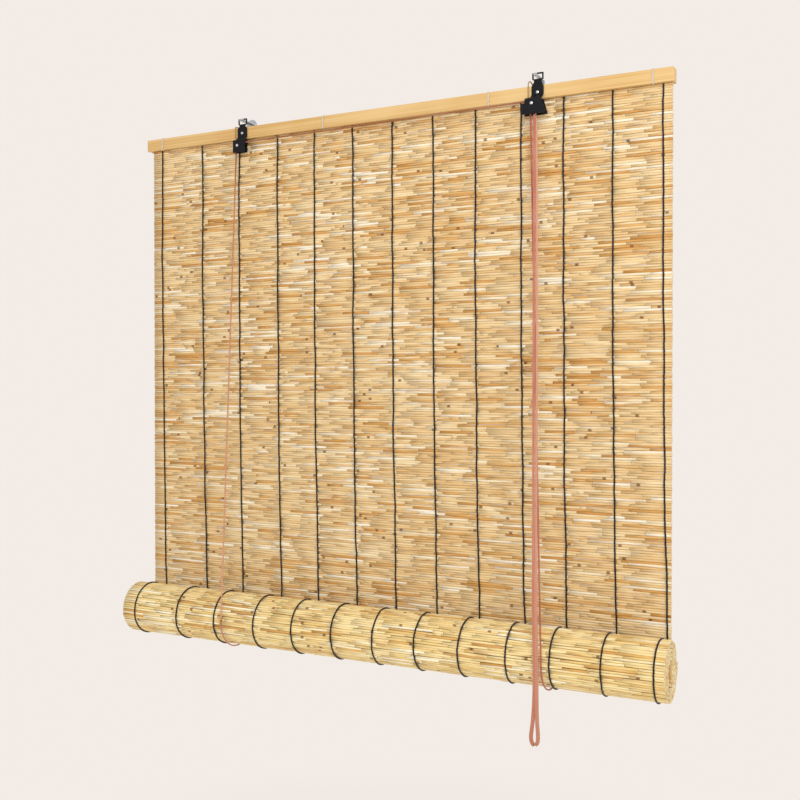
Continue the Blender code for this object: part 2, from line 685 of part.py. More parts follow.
def drill_batten(name, x, cutters):
    """The hole in the front batten that a fixing screw sits in."""
    mesh = bpy.data.meshes.new(name)
    bm = bmesh.new()
    depth, radius = 2 * (SCREW_DEPTH + CLEARANCE), SCREW_RADIUS + CLEARANCE
    bmesh.ops.create_cone(
        bm, cap_ends=True, segments=20, radius1=radius, radius2=radius, depth=depth
    )
    bm.to_mesh(mesh)
    bm.free()
    cutter = bpy.data.objects.new(name, mesh)
    cutters.objects.link(cutter)
    cutter.location = (x, RAIL_FRONT, -SCREW_DROP)
    cutter.rotation_euler = FACING_FRONT
    cutter.hide_render = True
    cutter.display_type = "WIRE"
    modifier = bpy.data.objects["front_batten"].modifiers.new(name, "BOOLEAN")
    modifier.operation = "DIFFERENCE"
    modifier.object = cutter


def sheave(name, x, y, z, cord_turn, thickness, materials, parts):
    """A grooved wheel that the cord runs over."""
    flange = cord_turn + SHEAVE_FLANGE
    groove = cord_turn - CORD_RADIUS - CLEARANCE
    half, slot = thickness / 2, CORD_RADIUS + CLEARANCE
    bore = AXLE_RADIUS + CLEARANCE
    profile = [
        (bore, half), (flange, half), (flange, slot), (groove, slot), (groove, -slot),
        (flange, -slot), (flange, -half), (bore, -half),
    ]
    return turned(name, profile, (x, y, z), materials["nylon"], parts, closed=True, steps=28)


def cheek(name, outline, holes, flange_low, flange_high, materials, parts, cutters):
    """A block's rear plate, with the side wall that closes the block on its outer side."""
    outlines, middle = [outline, *holes], (0, (CHEEK_BACK + CHEEK_FRONT) / 2, 0)
    enamel = materials["enamel"]
    plate = plate_mesh(name, outlines, CHEEK_THICKNESS, FACING_FRONT, middle, enamel, parts)
    wall = cuboid(name + "_wall", flange_low, flange_high, enamel, cutters)
    return combine(plate, wall, "UNION")


def build_pulley_block(materials, parts, cutters):
    x = LEFT_BLOCK_X
    left, right = x - LEFT_BODY_LEFT, x + LEFT_BODY_RIGHT
    body = [(left, BLOCK_BOTTOM), (right, BLOCK_BOTTOM)]
    step = [(x - LEFT_NECK_HALF, LEFT_BODY_TOP), (left, LEFT_BODY_TOP)]
    eye = eye_outline(x, LEFT_NECK_HALF, LEFT_EYE_LIFT)
    outline = rounded(body + eye + step, STRAP_EDGE, 2)
    axle_hole = circle((LEFT_AXLE_X, LEFT_AXLE_Z), AXLE_RADIUS + CLEARANCE)
    screw_hole = circle((x, -SCREW_DROP), SCREW_RADIUS + CLEARANCE)
    holes = [axle_hole, screw_hole, window(x, LEFT_EYE_LIFT)]
    section = strap_section(LEFT_STRAP_BACK, LEFT_KNEES)
    build_strap("left_block_strap", outline, holes, section, x, materials, parts, cutters)
    plate = rounded(rectangle(left, right, BLOCK_BOTTOM, UNDER_TIES), STRAP_EDGE, 2)
    wall_low = (left, LEFT_STRAP_BACK + CLEARANCE, BLOCK_BOTTOM + CHEEK_WALL)
    wall_high = (left + CHEEK_WALL, CHEEK_FRONT + CHEEK_WALL_ROOT, LEFT_KNEES[0] - CHEEK_WALL)
    cheek("left_block_cheek", plate, [axle_hole], wall_low, wall_high, materials, parts, cutters)
    front, back = STRAP_THICKNESS - LEFT_STRAP_BACK + CLEARANCE, CHEEK_BACK + CLEARANCE
    rivet("left_block_axle", LEFT_AXLE_X, front, LEFT_AXLE_Z, back, materials, parts)
    axle, turn, thickness = LEFT_AXLE_X, LEFT_CORD_TURN, LEFT_SHEAVE_THICKNESS
    place = (axle, LEFT_SHEAVE_Y, LEFT_AXLE_Z)
    sheave("left_sheave", *place, turn, thickness, materials, parts)
    fixing_screw("left_block_screw", x, materials, parts)
    drill_batten("left_screw_hole", x, cutters)


def build_lock_cam(materials, parts, cutters):
    """The eccentric that jams the pull strands, with a trunnion at each end."""
    nose = CAM_X - (LOCK_PULL_X + CORD_RADIUS + CLEARANCE)
    round_back = arc((0, 0), CAM_RADIUS, CAM_ROUND + CAM_SLOPE, -CAM_ROUND + CAM_SLOPE, 14)
    angles = [CAM_SLOPE + a for a in CAM_NOSE_ANGLES]
    tip = [(-nose * cos(a), -nose * sin(a)) for a in angles]
    nylon = materials["nylon"]
    low, high = LOCK_STRAP_BACK + SIDE_PLAY, CHEEK_FRONT - SIDE_PLAY
    centre = (CAM_X, (low + high) / 2, CAM_Z)
    outline = [round_back + tip]
    cam = plate_mesh("lock_cam", outline, high - low, FACING_FRONT, centre, nylon, parts)
    front, back = -LOCK_STRAP_BACK - CLEARANCE, -CHEEK_BACK + CLEARANCE
    profile = [(0, front), (AXLE_RADIUS, front), (AXLE_RADIUS, back), (0, back)]
    pin = turned("cam_trunnion", profile, (CAM_X, 0, CAM_Z), nylon, cutters, steps=20)
    combine(cam, pin, "UNION")


def build_cord_lock(materials, parts, cutters):
    x = LOCK_X
    left, right, shoulder = x - LOCK_BODY_LEFT, x + LOCK_BODY_RIGHT, x + LOCK_SHOULDER
    step_low, step_high = LOCK_STEPS
    tread = left + LOCK_TREAD
    body = [(left, BLOCK_BOTTOM), (right, BLOCK_BOTTOM), (shoulder, LOCK_SHOULDER_TOP)]
    stair = [(x - LOCK_NECK_HALF, step_high), (tread, step_high)]
    stair += [(tread, step_low), (left, step_low)]
    eye = eye_outline(x, LOCK_NECK_HALF, LOCK_EYE_LIFT)
    outline = rounded(body + eye + stair, STRAP_EDGE, 2)
    hole = AXLE_RADIUS + CLEARANCE
    axle_hole = circle((LOCK_AXLE_X, LOCK_AXLE_Z), hole)
    cam_hole = circle((CAM_X, CAM_Z), hole)
    screw_hole = circle((x, -SCREW_DROP), SCREW_RADIUS + CLEARANCE)
    holes = [axle_hole, screw_hole, window(x, LOCK_EYE_LIFT)]
    section = strap_section(LOCK_STRAP_BACK, LOCK_KNEES)
    build_strap("lock_strap", outline, holes, section, x, materials, parts, cutters)
    plate = rounded(body[:2] + [(shoulder, UNDER_TIES), (left, UNDER_TIES)], STRAP_EDGE, 2)
    wall_x = CAM_X + CAM_RADIUS + CAM_PLAY
    wall_low = (wall_x, LOCK_STRAP_BACK + CLEARANCE, BLOCK_BOTTOM + CHEEK_WALL)
    wall_high = (wall_x + CHEEK_WALL, CHEEK_FRONT + CHEEK_WALL_ROOT, LOCK_WALL_TOP)
    pin_holes = [axle_hole, cam_hole]
    cheek("lock_cheek", plate, pin_holes, wall_low, wall_high, materials, parts, cutters)
    front, back = STRAP_THICKNESS - LOCK_STRAP_BACK + CLEARANCE, CHEEK_BACK + CLEARANCE
    rivet("lock_axle", LOCK_AXLE_X, front, LOCK_AXLE_Z, back, materials, parts)
    turn, thickness = LOCK_CORD_TURN, LOCK_SHEAVE_THICKNESS
    for end, y in (("front", FRONT_LOCK_SHEAVE_Y), ("rear", REAR_LOCK_SHEAVE_Y)):
        place = (LOCK_AXLE_X, y, LOCK_AXLE_Z)
        sheave(f"lock_sheave_{end}", *place, turn, thickness, materials, parts)
    build_lock_cam(materials, parts, cutters)
    fixing_screw("lock_screw", x, materials, parts)
    drill_batten("lock_screw_hole", x, cutters)


# ---------------------------------------------------------------- wall brackets


def build_wall_bracket(name, x, plate_width, tongue_width, lift, materials, parts, cutters):
    """A wall plate with a round top and a tongue that the strap's eye hangs on."""
    radius = plate_width / 2
    corners = [(x - radius, PLATE_BOTTOM), (x + radius, PLATE_BOTTOM)]
    outline = corners + arc((x, PLATE_TOP - radius), radius, 0, pi, 16)
    outlines = [outline, circle((x, -PLATE_HOLE_DROP), PLATE_HOLE_RADIUS)]
    middle, zinc = (0, -PLATE_THICKNESS / 2, 0), materials["zinc"]
    plate = plate_mesh(name, outlines, PLATE_THICKNESS, FACING_FRONT, middle, zinc, parts)
    top = WINDOW_TOP + lift - CLEARANCE
    under = top - TONGUE_THICKNESS
    end = EYE_BACK - STRAP_THICKNESS - TONGUE_REACH
    tip = end - TONGUE_THICKNESS
    side = [
        (-PLATE_THICKNESS / 2, under), (-PLATE_THICKNESS / 2, top), (end, top),
        (end, top + TONGUE_TIP_RISE), (tip, top + TONGUE_TIP_RISE), (tip, under),
    ]
    tongue_name, place = name + "_tongue", (x, 0, 0)
    tongue = plate_mesh(tongue_name, [side], tongue_width, FACING_SIDE, place, zinc, cutters)
    return combine(plate, tongue, "UNION")


def main():
    clear_scene()
    parts, cutters = new_collection(PARTS), new_collection(CUTTERS)
    materials = make_materials()
    build_head_rail(materials, parts)
    build_ties(materials, parts)
    build_sheet(materials, parts)
    build_roll(materials, parts)
    build_cords(materials, parts)
    build_pulley_block(materials, parts, cutters)
    build_cord_lock(materials, parts, cutters)
    left, left_x = (LEFT_PLATE_WIDTH, LEFT_TONGUE_WIDTH, LEFT_EYE_LIFT), LEFT_BLOCK_X
    right, right_x = (RIGHT_PLATE_WIDTH, RIGHT_TONGUE_WIDTH, LOCK_EYE_LIFT), LOCK_X + RIGHT_PLATE_OFFSET
    build_wall_bracket("left_wall_bracket", left_x, *left, materials, parts, cutters)
    build_wall_bracket("right_wall_bracket", right_x, *right, materials, parts, cutters)


main()
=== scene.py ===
"""Roll-up reed blind on two wall brackets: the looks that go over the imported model.

Metres, in the model's own frame: +X right along the rail, -Y into the room, +Z up. The origin
lies in the wall's plane, at the middle of the roll's length and level with the rail's top.
"""

from __future__ import annotations

import logging
import math
from dataclasses import dataclass, field
from enum import Enum
from functools import partial
from typing import Any, Sequence

import bpy
import numpy as np
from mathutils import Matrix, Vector

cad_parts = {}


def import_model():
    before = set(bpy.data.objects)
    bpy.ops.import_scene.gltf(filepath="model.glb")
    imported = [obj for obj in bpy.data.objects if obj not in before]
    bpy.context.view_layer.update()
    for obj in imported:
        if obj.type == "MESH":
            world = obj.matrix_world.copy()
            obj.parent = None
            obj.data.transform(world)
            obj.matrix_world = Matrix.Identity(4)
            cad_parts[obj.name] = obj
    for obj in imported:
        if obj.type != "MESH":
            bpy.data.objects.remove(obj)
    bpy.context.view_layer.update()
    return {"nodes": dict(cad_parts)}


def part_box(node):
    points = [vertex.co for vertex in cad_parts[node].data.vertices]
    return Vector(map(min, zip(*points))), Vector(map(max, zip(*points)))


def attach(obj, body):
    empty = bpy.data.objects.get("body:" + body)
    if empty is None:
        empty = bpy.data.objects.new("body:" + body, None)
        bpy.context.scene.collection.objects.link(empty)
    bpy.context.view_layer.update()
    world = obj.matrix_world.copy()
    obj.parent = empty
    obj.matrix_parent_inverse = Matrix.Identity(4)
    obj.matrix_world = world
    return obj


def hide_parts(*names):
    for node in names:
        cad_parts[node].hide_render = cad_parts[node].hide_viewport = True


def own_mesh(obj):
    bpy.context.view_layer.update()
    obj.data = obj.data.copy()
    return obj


LOG = logging.getLogger("reed_blind")
Point = tuple[float, float, float]
Colour = tuple[float, float, float, float]


# ---------------------------------------------------------------- shared tools


def linear(hex_colour: str) -> Colour:
    """Turns an sRGB #RRGGBB colour into linear RGBA.

    Args:
        hex_colour: The colour as #RRGGBB.

    Returns:
        Red, green, blue and alpha, linear.
    """
    channels = [int(hex_colour[i : i + 2], 16) / 255 for i in (1, 3, 5)]
    light = [c / 12.92 if c <= 0.04045 else ((c + 0.055) / 1.055) ** 2.4 for c in channels]
    return (light[0], light[1], light[2], 1.0)


def add_node(
    tree: bpy.types.NodeTree,
    kind: str,
    settings: dict[str, Any] | None = None,
    inputs: dict[str | int, Any] | None = None,
) -> bpy.types.Node:
    """Adds a node with its settings and links.

    Args:
        tree: The tree that gets the node.
        kind: The node's type name.
        settings: Properties by name; "stops" holds a colour ramp's (place, #RRGGBB) pairs.
        inputs: Values, other nodes' sockets, or nodes, which stand for their first output, by
            the input's name or number.

    Returns:
        The new node.
    """
    made = tree.nodes.new(kind)
    for name, value in (settings or {}).items():
        if name == "stops":
            elements = made.color_ramp.elements
            for number, (place, colour) in enumerate(value):
                stop = elements[number] if number < 2 else elements.new(place)
                stop.position, stop.color = place, linear(colour)
        else:
            setattr(made, name, value)
    for key, value in (inputs or {}).items():
        if isinstance(value, bpy.types.Node):
            value = value.outputs[0]
        if isinstance(value, bpy.types.NodeSocket):
            tree.links.new(value, made.inputs[key])
        else:
            made.inputs[key].default_value = value
    return made


def new_material(name: str, roughness: float, metallic: float = 0.0) -> bpy.types.Material:
    """Makes a node material whose shader has a roughness and is metal or not.

    Args:
        name: The material's name.
        roughness: The shader's roughness.
        metallic: 1 for bare metal.

    Returns:
        The material, with a Principled shader on its output.
    """
    material = bpy.data.materials.new(name)
    material.use_nodes = True
    shader = material.node_tree.nodes["Principled BSDF"]
    shader.inputs["Roughness"].default_value = roughness
    shader.inputs["Metallic"].default_value = metallic
    return material


def piece_from(name: str, mesh: bpy.types.Mesh, material: bpy.types.Material) -> bpy.types.Object:
    """Links a mesh into the scene as a piece at the origin.

    Args:
        name: The piece's name.
        mesh: Its mesh, already in place.
        material: Its only material.

    Returns:
        The piece.
    """
    piece = bpy.data.objects.new(name, mesh)
    mesh.materials.clear()
    mesh.materials.append(material)
    bpy.context.scene.collection.objects.link(piece)
    return piece


def report(piece: bpy.types.Object) -> None:
    """Logs a piece's name and number of faces."""
    LOG.info("%s: %d faces", piece.name, len(piece.data.polygons))


def smooth_line(points: Sequence[Point], step: float) -> np.ndarray:
    """Draws a smooth line through points and spaces it evenly.

    Args:
        points: The places that the line goes through.
        step: Distance between the new points.

    Returns:
        The evenly spaced points, one row each.
    """
    p = np.array(points, float)
    p = np.vstack([2 * p[0] - p[1], p, 2 * p[-1] - p[-2]])
    t = np.linspace(0, 1, 8, endpoint=False)[:, None]
    spans = []
    for a, b, c, d in zip(p, p[1:], p[2:], p[3:]):
        square, cube = 2 * a - 5 * b + 4 * c - d, 3 * b - a - 3 * c + d
        spans.append((2 * b + (c - a) * t + square * t**2 + cube * t**3) / 2)
    fine = np.vstack([*spans, p[-2:-1]])
    along = np.concatenate([[0], np.cumsum(np.linalg.norm(np.diff(fine, axis=0), axis=1))])
    at = np.linspace(0, along[-1], max(2, round(along[-1] / step) + 1))
    return np.stack([np.interp(at, along, fine[:, k]) for k in range(3)], axis=1)


@dataclass(frozen=True)
class Section:
    """The cross-section of a swept cord.

    Attributes:
        width: Across the wide way.
        depth: Across the narrow way.
        wide_way: The direction that the width lies in.
        sides: Number of faces round it.
    """

    width: float
    depth: float
    wide_way: Point = (1.0, 0.0, 0.0)
    sides: int = 12


def sweep(
    name: str,
    line: np.ndarray,
    section: Section,
    closed: bool = False,
    swell: np.ndarray | None = None,
) -> bpy.types.Mesh:
    """Sweeps a section along a line, with capped ends, a UV map and a "share" attribute.

    U runs along the cord in units of its width and V once round it. The share goes from 0 at
    the line's start to 1 at its end.

    Args:
        name: The mesh's name.
        line: Points of the centre line, one row each.
        section: The cross-section.
        closed: Whether the line is a ring.
        swell: How many times the width each point of the line has.

    Returns:
        The mesh.
    """
    count, sides = len(line), section.sides
    if closed:
        along = np.roll(line, -1, 0) - np.roll(line, 1, 0)
    else:
        along = np.gradient(line, axis=0)
    along /= np.linalg.norm(along, axis=1)[:, None]
    wide = np.array(section.wide_way, float) - along * (along @ np.array(section.wide_way))[:, None]
    wide /= np.linalg.norm(wide, axis=1)[:, None]
    deep = np.cross(along, wide)
    steps = np.linalg.norm(np.diff(line, axis=0), axis=1)
    length = np.concatenate([[0], np.cumsum(steps)])
    angle = np.linspace(0, 2 * math.pi, sides, endpoint=False)
    swell = np.ones(count) if swell is None else swell
    across = np.outer(swell, np.cos(angle)) * section.width / 2
    through = np.tile(np.sin(angle) * section.depth / 2, (count, 1))
    rings = line[:, None] + wide[:, None] * across[..., None] + deep[:, None] * through[..., None]
    verts = rings.reshape(-1, 3)
    spans = count if closed else count - 1
    faces, uvs = [], []
    reach = length / section.width
    lap = (length[-1] + float(np.linalg.norm(line[0] - line[-1]))) / section.width
    for i in range(spans):
        j = (i + 1) % count
        u0, u1 = reach[i], (lap if j == 0 else reach[j])
        for k in range(sides):
            m = (k + 1) % sides
            faces.append((i * sides + k, i * sides + m, j * sides + m, j * sides + k))
            v0, v1 = k / sides, (k + 1) / sides
            uvs += [(u0, v0), (u0, v1), (u1, v1), (u1, v0)]
    if not closed:
        faces.append(tuple(range(sides))[::-1])
        faces.append(tuple(range((count - 1) * sides, count * sides)))
        uvs += [(0.0, k / sides) for k in range(sides)][::-1]
        uvs += [(reach[-1], k / sides) for k in range(sides)]
    mesh = bpy.data.meshes.new(name)
    mesh.from_pydata(verts.tolist(), [], faces)
    layer = mesh.uv_layers.new(name="UVMap")
    layer.data.foreach_set("uv", np.array(uvs, np.float32).ravel())
    share = mesh.attributes.new("share", "FLOAT", "POINT")
    shares = np.repeat(length / max(length[-1], 1e-9), sides)
    share.data.foreach_set("value", shares.astype(np.float32))
    mesh.shade_smooth()
    return mesh


def joined(name: str, meshes: Sequence[bpy.types.Mesh]) -> bpy.types.Mesh:
    """Joins swept meshes into one, their UV maps and shares kept.

    Args:
        name: The new mesh's name.
        meshes: The meshes, which are removed.

    Returns:
        The joined mesh.
    """
    verts, faces, uvs, shares, start = [], [], [], [], 0
    for mesh in meshes:
        verts += [tuple(v.co) for v in mesh.vertices]
        faces += [tuple(i + start for i in p.vertices) for p in mesh.polygons]
        uvs += [tuple(d.uv) for d in mesh.uv_layers[0].data]
        shares += [d.value for d in mesh.attributes["share"].data]
        start = len(verts)
        bpy.data.meshes.remove(mesh)
    made = bpy.data.meshes.new(name)
    made.from_pydata(verts, [], faces)
    layer = made.uv_layers.new(name="UVMap")
    layer.data.foreach_set("uv", np.array(uvs, np.float32).ravel())
    share = made.attributes.new("share", "FLOAT", "POINT")
    share.data.foreach_set("value", np.array(shares, np.float32))
    made.shade_smooth()
    return made


def lines_mesh(name: str, lines: Sequence[np.ndarray]) -> bpy.types.Mesh:
    """Makes a mesh of open polylines, the input of a node tree that follows paths.

    Args:
        name: The mesh's name.
        lines: The lines, one array of points each.

    Returns:
        The mesh, which has edges and no faces.
    """
    verts, edges = [], []
    for line in lines:
        start = len(verts)
        verts += [tuple(p) for p in line]
        edges += [(start + i, start + i + 1) for i in range(len(line) - 1)]
    mesh = bpy.data.meshes.new(name)
    mesh.from_pydata(verts, edges, [])
    return mesh


# ---------------------------------------------------------------- finishes


@dataclass(frozen=True)
class DriedReed:
    """Dried common reed: a thin waxy skin over pith, straw yellow, rust brown or bleached.

    Attributes:
        name: The material's name.
        tones: (share, colour) pairs that the stems are spread over.
        seam_shade: Strongest painted shade where two stems touch.
        seam_shade_reach: How far round the stem the painted shade starts, 1 at the very side.
        seam_shade_colour: The painted shade's colour.
        streak_length: Length of a streak in the skin.
        streak_width: Its width; real fibres are finer.
        clump: (length, height) of a patch of stems cut from one bundle.
        joint_spacing: Mean distance between a stem's joints.
    """

    name: str
    tones: tuple[tuple[float, str], ...]
    seam_shade: float = 0.55
    seam_shade_reach: float = 0.7
    seam_shade_colour: str = "#AC7434"
    streak_length: float = 0.045
    streak_width: float = 0.0024
    clump: tuple[float, float] = (0.075, 0.011)
    joint_spacing: float = 1.4

    def build(self) -> bpy.types.Material:
        """Makes the material; it reads each stem's tone, flank and rim attributes."""
        material = new_material(self.name, 0.55)
        tree = material.node_tree
        add = partial(add_node, tree)
        shader = tree.nodes["Principled BSDF"]
        shader.inputs["Specular IOR Level"].default_value = 0.35
        place = add("ShaderNodeTexCoord")
        tone = add("ShaderNodeAttribute", {"attribute_name": "tone"})
        flank = add("ShaderNodeAttribute", {"attribute_name": "flank"})
        rim = add("ShaderNodeAttribute", {"attribute_name": "rim"})
        own = add(
            "ShaderNodeVectorMath",
            {"operation": "MULTIPLY_ADD"},
            {0: tone.outputs["Vector"], 1: (37.0, 3.1, 1.7), 2: place.outputs["Object"]},
        )
        streaks = self._stretched(tree, own.outputs[0], self.streak_length, self.streak_width, 3.0)
        clumps = self._stretched(tree, place.outputs["Object"], *self.clump, 2.0)
        seams = self._stretched(tree, place.outputs["Object"], 0.5, 0.006, 1.0)
        stems = add("ShaderNodeValToRGB", {"stops": self.tones}, {"Fac": tone.outputs["Fac"]})
        rust = self._share(tree, clumps, 0.55, 0.68, 0.55)
        clumped = self._mixed(tree, rust, stems.outputs["Color"], "#CFA567")
        orange = self._share(tree, streaks, 0.55, 0.7, 0.5)
        streaked = self._mixed(tree, orange, clumped, "#C6924E")
        pale = self._share(tree, streaks, 0.43, 0.3, 0.5)
        faded = self._mixed(tree, pale, streaked, "#F0E6CC")
        across = add("ShaderNodeSeparateXYZ", None, {0: own})
        along = add(
            "ShaderNodeMath",
            {"operation": "MULTIPLY"},
            {0: across.outputs["X"], 1: 1 / self.joint_spacing},
        )
        joints = add(
            "ShaderNodeTexVoronoi", {"voronoi_dimensions": "1D"}, {"W": along, "Scale": 1.0}
        )
        ring = self._share(tree, joints.outputs["Distance"], 0.0034, 0.0014, 0.85)
        jointed = self._mixed(tree, ring, faded, "#7E4E22")
        # Painted shade: the stems' flanks, where neighbours touch, darken towards the shade colour,
        # unevenly along the rows.
        side = self._share(tree, flank.outputs["Fac"], self.seam_shade_reach, 1.0, self.seam_shade)
        uneven = add(
            "ShaderNodeMapRange",
            None,
            {"Value": seams, "From Min": 0.42, "From Max": 0.62, "To Min": 0.25, "To Max": 1.0},
        )
        seam_shade = add("ShaderNodeMath", {"operation": "MULTIPLY"}, {0: side, 1: uneven})
        seam_shaded = self._mixed(tree, seam_shade.outputs[0], jointed, self.seam_shade_colour)
        facing = add("ShaderNodeSeparateXYZ", None, {0: place.outputs["Normal"]})
        facing_end = add("ShaderNodeMath", {"operation": "ABSOLUTE"}, {0: facing.outputs["X"]})
        cut = add("ShaderNodeMath", {"operation": "GREATER_THAN"}, {0: facing_end, 1: 0.8})
        # The stems' cut ends: a pale wall round a dark centre, which is painted shade inside the
        # hollow stem.
        pith = add(
            "ShaderNodeValToRGB",
            {"stops": [(0.3, "#9A6A35"), (1.0, "#EBD39A"), (0.6, "#FAF0CC")]},
            {"Fac": rim.outputs["Fac"]},
        )
        colour = add(
            "ShaderNodeMix", {"data_type": "RGBA"}, {0: cut, 6: seam_shaded, 7: pith.outputs["Color"]}
        )
        bump = add("ShaderNodeBump", None, {"Strength": 0.35, "Distance": 0.0004, "Height": streaks}
        )
        rough = add("ShaderNodeMapRange", None, {"Value": streaks, "To Min": 0.42, "To Max": 0.68})
        tree.links.new(colour.outputs[2], shader.inputs["Base Color"])
        tree.links.new(rough.outputs["Result"], shader.inputs["Roughness"])
        tree.links.new(bump.outputs[0], shader.inputs["Normal"])
        return material

    @staticmethod
    def _stretched(
        tree: bpy.types.NodeTree,
        place: bpy.types.NodeSocket,
        length: float,
        width: float,
        detail: float,
    ) -> bpy.types.NodeSocket:
        """Adds noise drawn out along X.

        Args:
            tree: The tree that gets the nodes.
            place: Where the noise is read.
            length: Size of a spot along X.
            width: Its size the other ways.
            detail: The noise's detail.

        Returns:
            The noise's value.
        """
        scaled = add_node(
            tree, "ShaderNodeVectorMath", {"operation": "MULTIPLY"}, {0: place,
            1: (1 / length, 1 / width, 1 / width)}
        )
        noise = add_node(
            tree, "ShaderNodeTexNoise", None, {"Vector": scaled, "Scale": 1.0, "Detail": detail,
            "Roughness": 0.6}
        )
        return noise.outputs["Fac"]

    @staticmethod
    def _share(
        tree: bpy.types.NodeTree, value: bpy.types.NodeSocket, start: float, end: float, most: float
    ) -> bpy.types.NodeSocket:
        """Turns a value into a share that rises from 0 at start to most at end."""
        ramp = add_node(
            tree, "ShaderNodeMapRange", {"interpolation_type": "SMOOTHSTEP"}, {"Value": value,
            "From Min": start, "From Max": end, "To Max": most}
        )
        return ramp.outputs["Result"]

    @staticmethod
    def _mixed(
        tree: bpy.types.NodeTree,
        share: bpy.types.NodeSocket,
        under: bpy.types.NodeSocket,
        over: str,
    ) -> bpy.types.NodeSocket:
        """Lays a colour over another by a share."""
        mix = add_node(
            tree, "ShaderNodeMix", {"data_type": "RGBA"}, {0: share, 6: under, 7: linear(over)}
        )
        return mix.outputs[2]


@dataclass(frozen=True)
class BambooBatten:
    """Split bamboo, planed and thinly varnished: long straight fibres, a soft satin gloss."""

    name: str = "varnished_bamboo"
    fibre_length: float = 0.30
    fibre_width: float = 0.0034  # drawn coarser than the real 0.5 mm bundles

    def build(self) -> bpy.types.Material:
        """Makes the material, its fibres along X."""
        material = new_material(self.name, 0.4)
        tree = material.node_tree
        add = partial(add_node, tree)
        shader = tree.nodes["Principled BSDF"]
        place = add("ShaderNodeTexCoord").outputs["Object"]
        grain = (1 / self.fibre_length, 1 / self.fibre_width, 1 / self.fibre_width)
        stretched = add("ShaderNodeVectorMath", {"operation": "MULTIPLY"}, {0: place, 1: grain})
        fibres = add(
            "ShaderNodeTexNoise",
            None,
            {"Vector": stretched, "Scale": 1.0, "Detail": 5.0, "Roughness": 0.62},
        )
        broad = add("ShaderNodeTexNoise", None, {"Vector": place, "Scale": 5.0, "Detail": 2.0})
        wood = add(
            "ShaderNodeValToRGB",
            {"stops": [(0.28, "#C29350"), (0.75, "#E2C288"), (0.48, "#D2AA69")]},
            {"Fac": fibres.outputs["Fac"]},
        )
        patch = add(
            "ShaderNodeMapRange",
            None,
            {"Value": broad.outputs["Fac"], "From Min": 0.4, "From Max": 0.7, "To Max": 0.45},
        )
        colour = add(
            "ShaderNodeMix",
            {"data_type": "RGBA"},
            {0: patch.outputs["Result"], 6: wood.outputs["Color"], 7: linear("#E9CC92")},
        )
        rough = add(
            "ShaderNodeMapRange",
            None,
            {"Value": fibres.outputs["Fac"], "To Min": 0.32, "To Max": 0.55},
        )
        bump = add(
            "ShaderNodeBump",
            None,
            {"Strength": 0.25, "Distance": 0.0003, "Height": fibres.outputs["Fac"]},
        )
        tree.links.new(colour.outputs[2], shader.inputs["Base Color"])
        tree.links.new(rough.outputs["Result"], shader.inputs["Roughness"])
        tree.links.new(bump.outputs[0], shader.inputs["Normal"])
        return material


@dataclass(frozen=True)
class TwistedThread:
    """Laid thread of spun fibre: matt, with a slanting groove between its yarns.

    Attributes:
        name: The material's name.
        light: Colour on top of a yarn.
        groove_shade: Colour in the groove, painted shade.
        yarns: Number of yarns round the thread.
        lay: Widths of thread along which a yarn goes once round.
    """

    name: str
    light: str
    groove_shade: str
    yarns: int = 3
    lay: float = 3.0

    def build(self) -> bpy.types.Material:
        """Makes the material, which follows the piece's own UV map."""
        material = new_material(self.name, 0.85)
        tree = material.node_tree
        add = partial(add_node, tree)
        shader = tree.nodes["Principled BSDF"]
        uv = add("ShaderNodeTexCoord").outputs["UV"]
        parts = add("ShaderNodeSeparateXYZ", None, {0: uv})
        turned = add(
            "ShaderNodeMath",
            {"operation": "MULTIPLY_ADD"},
            {0: parts.outputs["X"], 1: 1 / self.lay, 2: parts.outputs["Y"]},
        )
        phase = add(
            "ShaderNodeMath", {"operation": "MULTIPLY"}, {0: turned, 1: 2 * math.pi * self.yarns}
        )
        wave = add("ShaderNodeMath", {"operation": "COSINE"}, {0: phase})
        fuzz = add(
            "ShaderNodeTexNoise", None, {"Vector": add("ShaderNodeTexCoord").outputs["Object"],
            "Scale": 900.0, "Detail": 2.0}
        )
        height = add(
            "ShaderNodeMath",
            {"operation": "MULTIPLY_ADD"},
            {0: fuzz.outputs["Fac"], 1: 0.8, 2: wave},
        )
        # Painted shade: the grooves between the yarns are coloured darker, towards the groove
        # colour.
        shade = add(
            "ShaderNodeMapRange", None, {"Value": height, "From Min": -0.7, "From Max": 0.9}
        )
        colour = add(
            "ShaderNodeMix",
            {"data_type": "RGBA"},
            {0: shade.outputs["Result"], 6: linear(self.groove_shade), 7: linear(self.light)},
        )
        bump = add("ShaderNodeBump", None, {"Strength": 0.7, "Distance": 0.0004, "Height": height})
        tree.links.new(colour.outputs[2], shader.inputs["Base Color"])
        tree.links.new(bump.outputs[0], shader.inputs["Normal"])
        shader.inputs["Sheen Weight"].default_value = 0.15
        return material


